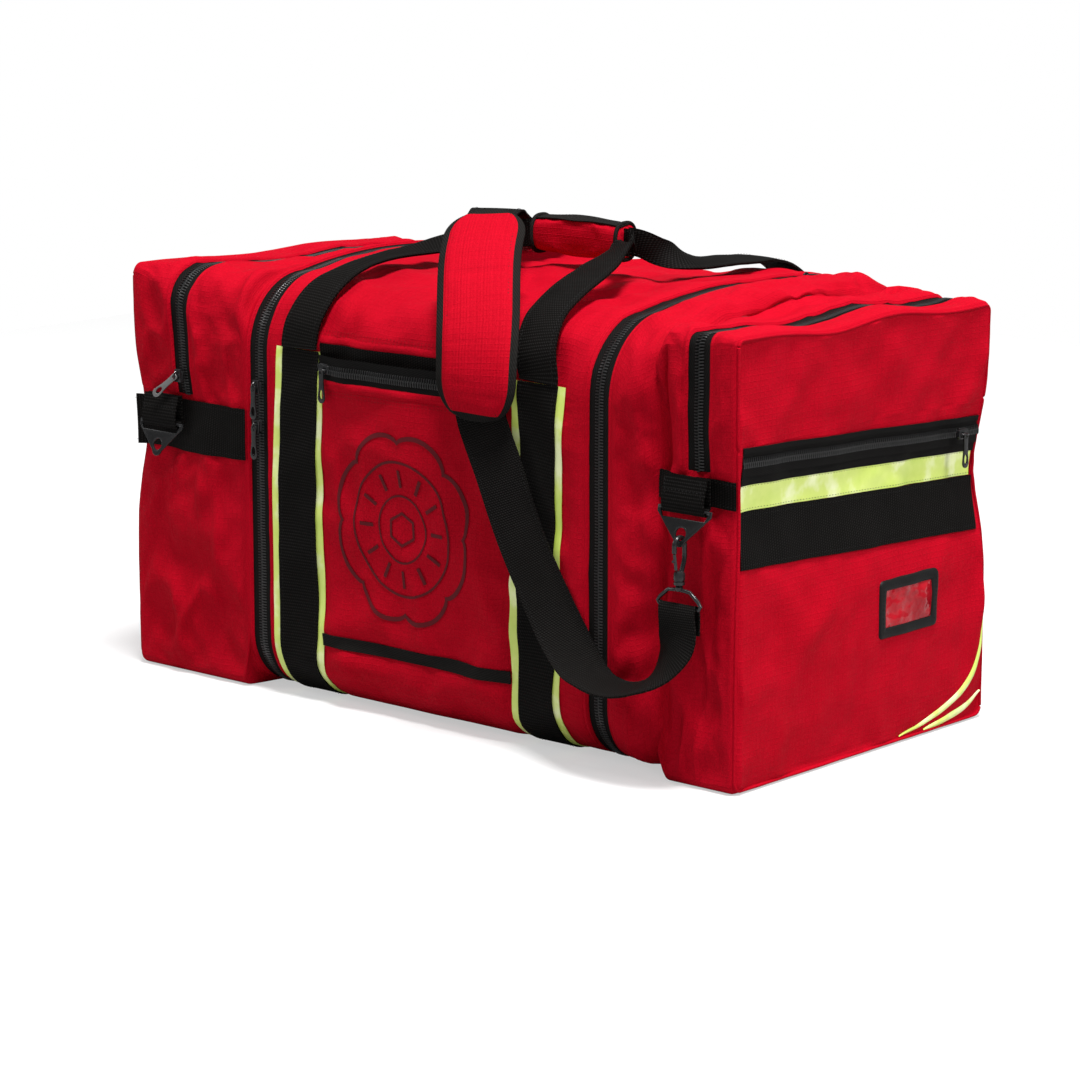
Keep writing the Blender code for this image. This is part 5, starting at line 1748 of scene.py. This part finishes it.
def make_inner_wall(side, mats):
    """Slack lining wall between an end pocket and the main compartment."""
    word = WORD[side]
    x = MAIN_ZIP[side] + side * 0.0135
    ring = loop_points(TOP_ROUND - 0.005, LOW_ROUND - 0.005, CROWN, 0.0065)
    ring[:, 1] = np.clip(ring[:, 1], -HALF_W + 0.0065, HALF_W - 0.0065)
    rows = 16
    middle = np.array([0.0, 0.205])
    verts, uvs = [], []
    for i in range(rows):
        t = 1 - i / rows
        for y, z in ring:
            yy, zz = middle + (np.array([y, z]) - middle) * t
            verts.append((x, yy, zz))
            uvs.append((yy, zz))
    verts.append((x, *middle))
    uvs.append(tuple(middle))
    faces = grid_faces(rows, LOOP, True)
    base = (rows - 1) * LOOP
    faces += [(base + j, base + (j + 1) % LOOP, len(verts) - 1) for j in range(LOOP)]
    flat = np.array(verts)
    depth = np.concatenate([np.repeat(np.arange(rows) / rows, LOOP), [1.0]])
    billow = smooth_step(0, 0.5, depth) * (0.006 + 0.006 * fractal(flat, 9.0, 61))
    flat[:, 0] += side * billow
    obj = mesh_object(word + "_inner_lining", flat, faces, uvs, [mats["lining"]])
    stiffen(obj, 0.0016, 0.0)
    belong(obj, "lining", word + "_end", word + "_inner_wall")


# ------------------------------------------------------------------ metal

TOP_SLOPE = Vector((0, -0.088, 0.0097)).normalized()
TOP_NORMAL = Vector((0, 0.0097, 0.088)).normalized()
END_ALONG = Vector((0, -1, END_SLOPE)).normalized()
DOWN = (0, 0, -1)
ZIP_SLIDERS = {
    "front_pocket": ((1, 0, 0), (0, -1, 0), DOWN),
    "main_left_upper": ((0, 0, 1), (0, -1, 0), DOWN),
    "main_left_lower": ((0, 0, -1), (0, -1, 0), DOWN),
    "main_right": (TOP_SLOPE, TOP_NORMAL, -TOP_SLOPE),
    "pocket_left": ((0, 0, 1), (0, -1, 0), (-0.74, -0.26, -0.67)),
    "pocket_right": ((0, 0, 1), (0, 1, 0), DOWN),
    "end_pocket": (END_ALONG, (1, 0, 0), DOWN),
}
SLIDER_FOOT = 0.0003
BRIDGE = 0.0056


def joint_anchor(name):
    """Where a joint's axis passes, from the record."""
    for joint in frame["record"]["behaviour"]["joints"]:
        if joint["name"] == name:
            return Vector(joint["pos_m"])
    raise KeyError(name)


def curve_mesh(outlines, place, cyclic, **settings):
    """Mesh of a curve object through poly outlines, moved to its place."""
    curve = bpy.data.curves.new("outline", "CURVE")
    for key, value in settings.items():
        setattr(curve, key, value)
    for outline in outlines:
        spline = curve.splines.new("POLY")
        spline.points.add(len(outline) - 1)
        for point, where in zip(spline.points, outline):
            x, y, z = (*where, 0)[:3]
            point.co = (x, y, z, 1)
        spline.use_cyclic_u = cyclic
    temp = link(bpy.data.objects.new("outline", curve))
    mesh = evaluated_mesh(temp)
    bpy.data.objects.remove(temp)
    mesh.transform(place)
    return mesh


def plate(outlines, thick, place, bevel):
    """Flat plate from 2D outlines (edge first, then holes), with softened edges."""
    return curve_mesh(outlines, place, True, dimensions="2D", fill_mode="BOTH", extrude=thick / 2 - bevel,
                      bevel_depth=bevel, bevel_resolution=2, offset=-bevel)


def wire_mesh(points, radius, place, cyclic=False, resolution=3):
    """Round wire through points."""
    return curve_mesh([points], place, cyclic, dimensions="3D", bevel_depth=radius,
                      bevel_resolution=resolution, use_fill_caps=not cyclic)


def box_part(low, high, place, bevel=0.0008, taper=1.0):
    """Bevelled block whose far end along Y can be narrower."""
    bm = bmesh.new()
    bmesh.ops.create_cube(bm, size=1.0)
    low, high = Vector(low), Vector(high)
    bmesh.ops.scale(bm, verts=bm.verts, vec=high - low)
    bmesh.ops.translate(bm, verts=bm.verts, vec=(low + high) / 2)
    for vert in bm.verts:
        if vert.co.y > (low.y + high.y) / 2:
            vert.co.x *= taper
    bmesh.ops.bevel(bm, geom=list(bm.edges), offset=bevel, segments=3, affect="EDGES", profile=0.6)
    mesh = bpy.data.meshes.new("block")
    bm.to_mesh(mesh)
    bm.free()
    mesh.transform(place)
    return mesh


def assemble(name, meshes, mat, slot, node):
    """Join finished meshes into one metal piece, which stands in for the node its body is named after."""
    bm = bmesh.new()
    for mesh in meshes:
        bm.from_mesh(mesh)
    out = bpy.data.meshes.new(name)
    bmesh.ops.remove_doubles(bm, verts=bm.verts, dist=1e-6)
    bmesh.ops.recalc_face_normals(bm, faces=bm.faces)
    bm.to_mesh(out)
    bm.free()
    out.materials.clear()
    out.materials.append(mat)
    out.polygons.foreach_set("material_index", [0] * len(out.polygons))
    out.shade_smooth()
    out.set_sharp_from_angle(angle=math.radians(35))
    belong(link(bpy.data.objects.new(name, out)), slot, node, node)


def axes_matrix(across, along, out, origin):
    """Frame of a piece from its three axes and its origin."""
    turn = Matrix((Vector(across), Vector(along), Vector(out))).transposed().to_4x4()
    return Matrix.Translation(Vector(origin)) @ turn


def ellipse(y, half_x, half_y, start, stop, count, last=True):
    """Points on an ellipse about (0, y), counted from the X axis."""
    turns = np.linspace(start, stop, count, endpoint=last)
    return [(half_x * math.cos(a), y + half_y * math.sin(a)) for a in turns]


def make_slider_and_pull(name, along, out, hang, mats):
    """A slider's body with two rails and a bridge, and the pull that hangs from it."""
    along, out = Vector(along), Vector(out)
    hinge = joint_anchor("pull_%s_swing" % name)
    foot = hinge - out * BRIDGE
    place = axes_matrix(along.cross(out), along, out, foot)
    body = box_part((-0.0050, -0.0065, SLIDER_FOOT - 0.0012), (0.0050, 0.0065, 0.0033), place, 0.0010, 0.74)
    rail_a = box_part((-0.0052, -0.0060, SLIDER_FOOT - 0.0014), (-0.0038, 0.0045, 0.0012), place, 0.0004, 1.0)
    rail_b = box_part((0.0038, -0.0060, SLIDER_FOOT - 0.0014), (0.0052, 0.0045, 0.0012), place, 0.0004, 1.0)
    arch = [(0, 0.0045 * math.cos(a), 0.0028 + 0.0046 * math.sin(a)) for a in np.linspace(0, math.pi, 14)]
    bridge = wire_mesh(arch, 0.00085, place)
    assemble("slider_%s_body" % name, [body, rail_a, rail_b, bridge], mats["metal"], "black_metal",
             "slider_" + name)
    down = Vector(hang).normalized()
    face = (out - down * down.dot(out)).normalized()
    make_pull(name, hinge, down, face, mats)


def make_pull(name, hinge, down, face, mats):
    """Pull with an eye round the bridge and a long grip hole, waisted between them."""
    place = axes_matrix(down.cross(face), down, face, hinge)
    length = 0.032
    edge = [(0.0032 * math.cos(a), -0.0017 * math.sin(a)) for a in np.linspace(0, math.pi, 9)][::-1]
    left, right = [], []
    for t in np.linspace(0.1, 0.8, 12):
        half = 0.0034 - 0.0011 * math.sin(math.pi * t) + 0.0012 * t
        y = t * (length - 0.006)
        right.append((half, y))
        left.append((-half, y))
    tip = ellipse(length - 0.0052, 0.0044, 0.0050, 0, math.pi, 13)
    edge = edge + right + tip + left[::-1]
    eye = ellipse(0.0016, 0.0016, 0.0020, 0, 2 * math.pi, 16, False)
    grip = ellipse(length - 0.0085, 0.0023, 0.0045, 0, 2 * math.pi, 20, False)
    grey = name == "pocket_left"
    mesh = plate([edge, eye, grip], 0.0016, place, 0.00035)
    assemble("pull_%s_plate" % name, [mesh], mats["steel" if grey else "metal"],
             "grey_metal" if grey else "black_metal", "pull_" + name)


TAB_W = 0.048
BAR_BORE = 0.0027
RING_TILT = math.radians(15)
RING_W = 0.060
RING_DROP = 0.033
BOW_R = 0.007
HOOK_WIRE = 0.0022
EYE_W = 0.052


def hardware_place(where):
    """Matrix from the front-right corner, where everything is drawn, to the piece's own corner."""
    if where == "back_left":
        return Matrix.Rotation(math.pi, 4, "Z")
    if where == "front_left":
        return Matrix.Translation((-2 * TAB_X, 0, 0))
    return Matrix()


def make_tab(where, mats):
    """Webbing folded down round the ring's bar, its ends sewn under the pocket band."""
    node = "ring_tab_" + where
    low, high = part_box("ring_tab_front_right")
    front, back, top = low.y, high.y, high.z
    bar = Vector((TAB_X, BAR_Y, BAR_Z))
    radius = BAR_BORE + 0.0006
    path = [(back + 0.0002, top - 0.001), (back + 0.0002, bar.z + 0.008), (back + 0.0006, bar.z + 0.003)]
    for a in np.linspace(math.radians(15), math.radians(-195), 14):
        path.append((bar.y + radius * math.cos(a), bar.z + radius * math.sin(a)))
    path += [(front + 0.0003, bar.z + 0.006), (front + 0.0010, bar.z + 0.012), (back - 0.0038, top - 0.001)]
    pts = np.array([(TAB_X, y, z) for y, z in path])
    tangent = np.gradient(pts, axis=0)
    normals = unit_rows(np.cross((1.0, 0, 0), tangent))
    pts, normals = resample(pts, 0.0015, normals)
    base, uvs = strip_base(pts, normals, TAB_W - 0.001, 9)
    obj = strip_object(node + "_fold", base, uvs, 0.0016, mats["web"], offset=0.0)
    sew = [(np.array([(TAB_X + dx, front + 0.0004, z) for z in np.linspace(BAR_Z + 0.010, top - 0.004, 12)]),
            np.tile((0, -1.0, 0), (12, 1))) for dx in (-0.020, 0.020)]
    sew += [(np.array([(TAB_X + dx, front + 0.0006, z) for dx in np.linspace(-0.020, 0.020, 14)]),
             np.tile((0, -1.0, 0), (14, 1))) for z in (BAR_Z + 0.010, BAR_Z + 0.017)]
    stitches = build_stitches(node + "_stitches", sew, mats["thread_black"], wide=0.0009)
    for piece in (obj, stitches):
        piece.data.transform(hardware_place(where))
        belong(piece, "black_webbing", "right_end" if where == "front_right" else "left_end")
    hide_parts(node)


def make_ring(where, mats):
    """Stamped triangular plate: top bar, slot and a round eye near the tip, with a raised rim."""
    half, tip = RING_W / 2, 0.0065
    edge = [(-half, 0.0015), (half, 0.0015), (half, -0.004)]
    edge += ellipse(tip - RING_DROP, tip, -tip, 0, math.pi, 17)[1:-1]
    edge.append((-half, -0.004))
    slot = [(-0.0265, -0.0016), (0.0265, -0.0016), (0.0235, -0.0080), (-0.0235, -0.0080)]
    eye, rim = (ellipse(-0.0215, r, r, 0, 2 * math.pi, 32, False) for r in (0.0058, 0.0067))
    tilt = Matrix.Rotation(math.pi / 2 - RING_TILT, 4, "X")
    place = hardware_place(where) @ Matrix.Translation((TAB_X, BAR_Y, BAR_Z)) @ tilt
    meshes = [plate([edge, slot, eye], 0.0020, place, 0.0006), wire_mesh(rim, 0.0012, place, True)]
    bar = [(x, 0.0, 0.0) for x in np.linspace(-half + 0.0015, half - 0.0015, 9)]
    meshes.append(wire_mesh(bar, 0.0017, place))
    assemble("ring_%s_plate" % where, meshes, mats["metal"], "black_metal", "ring_" + where)


def make_snap_hook(where, mats):
    """Bolt-snap hook: bow, turned barrel, sprung gate, and the swivel eye the strap is sewn to."""
    place = hardware_place(where)
    path = [(0.001, 0.1925), (0.0045, 0.2010), (BOW_R, 0.2090)]
    path += ellipse(HOOK_TOP - BOW_R, BOW_R, BOW_R, 0, math.pi, 19)
    path += [(-BOW_R, 0.2175), (-BOW_R, 0.2150)]
    bow = wire_mesh(catmull([(TAB_X, HOOK_Y + y, z) for y, z in path], 3), HOOK_WIRE, place, resolution=4)
    shape = [(0.1855, 0.0040), (0.1862, 0.0050), (0.1885, 0.0052), (0.1890, 0.0045), (0.1900, 0.0045),
             (0.1905, 0.0052), (0.1955, 0.0052), (0.1975, 0.0046), (0.1985, 0.0030)]
    barrel = turned(shape, (TAB_X, HOOK_Y), place)
    assemble("hook_%s_body" % where, [bow, barrel], mats["metal"], "black_metal", "hook_" + where)
    gate = wire_mesh([(TAB_X, HOOK_Y - 0.0046, 0.2000), (TAB_X, HOOK_Y - BOW_R, 0.2143)], 0.0015, place)
    knob = wire_mesh([(TAB_X, HOOK_Y - 0.0068, 0.2075), (TAB_X, HOOK_Y - 0.0092, 0.2080)], 0.0013, place)
    assemble("hook_gate_%s_bolt" % where, [gate, knob], mats["metal"], "black_metal", "hook_gate_" + where)
    half = EYE_W / 2 - 0.002
    knots = [(0.012, 0.1806), (half - 0.003, 0.1735), (half, EYE_Z + 0.003), (half - 0.002, EYE_Z),
             (half * 0.5, EYE_Z)]
    knots = [(0, 0.1815)] + knots + [(-x, z) for x, z in knots[::-1]]
    loop = wire_mesh([(TAB_X + x, HOOK_Y, z) for x, z in knots], 0.0018, place, True, 4)
    post = turned([(0.1805, 0.0030), (0.1815, 0.0036), (0.1840, 0.0036), (0.1850, 0.0026), (0.1915, 0.0020)],
                  (TAB_X, HOOK_Y), place)
    assemble("swivel_eye_%s_loop" % where, [loop, post], mats["metal"], "black_metal", "swivel_eye_" + where)


def turned(profile, centre, place, sides=24):
    """A solid of revolution about a vertical axis."""
    verts, faces = [], []
    for z, r in profile:
        for k in range(sides):
            a = 2 * math.pi * k / sides
            verts.append((centre[0] + r * math.cos(a), centre[1] + r * math.sin(a), z))
    faces = grid_faces(len(profile), sides, True)
    faces.append(tuple(range(sides))[::-1])
    faces.append(tuple((len(profile) - 1) * sides + k for k in range(sides)))
    mesh = bpy.data.meshes.new("turned")
    mesh.from_pydata(verts, [], faces)
    mesh.transform(place)
    return mesh


# ------------------------------------------------------------------ assembly

TAB_X = middle_x("ring_tab_front_right")
_, BAR_Y, BAR_Z = joint_anchor("ring_front_right_swing")
_, HOOK_Y, HOOK_TOP = joint_anchor("hook_front_right_swing")
EYE_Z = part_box("swivel_eye_front_right")[0].z + 0.0018


def dress_board(mats):
    """The base board keeps its CAD shape and gets a material."""
    board = frame["nodes"]["base_board"]
    for slot in board.material_slots:
        slot.material = mats["board"]


def build():
    """Everything in the scene."""
    make_camera()
    make_studio()
    mats = make_materials()
    main, main_grid = make_main_body(mats)
    skins, grids = {}, {}
    for side in (-1, 1):
        parts, grid, xs = make_end(side, mats)
        skins[side] = Skin(parts)
        grids[side] = grid
        make_main_zip(side, main_grid, grid, mats)
        make_pocket_zip(side, grid, xs, mats)
        make_welts(side, grid, mats)
        make_inner_wall(side, mats)
    main_skin = Skin([main])
    make_carry_webbing(main_skin, mats)
    make_front_pocket(main_skin, mats)
    make_badge(main_skin, mats)
    make_bands(skins, mats)
    make_end_zip(skins[1], mats)
    make_id_window(skins[1], mats)
    make_corner_pipings(skins[1], mats)
    make_handles(mats)
    make_grip(mats)
    make_strap(mats)
    make_pad(mats)
    for name, (along, out, hang) in ZIP_SLIDERS.items():
        make_slider_and_pull(name, along, out, hang, mats)
    for where in ("front_right", "front_left", "back_left"):
        make_tab(where, mats)
        make_ring(where, mats)
    for where in ("front_right", "back_left"):
        make_snap_hook(where, mats)
    dress_board(mats)


build()
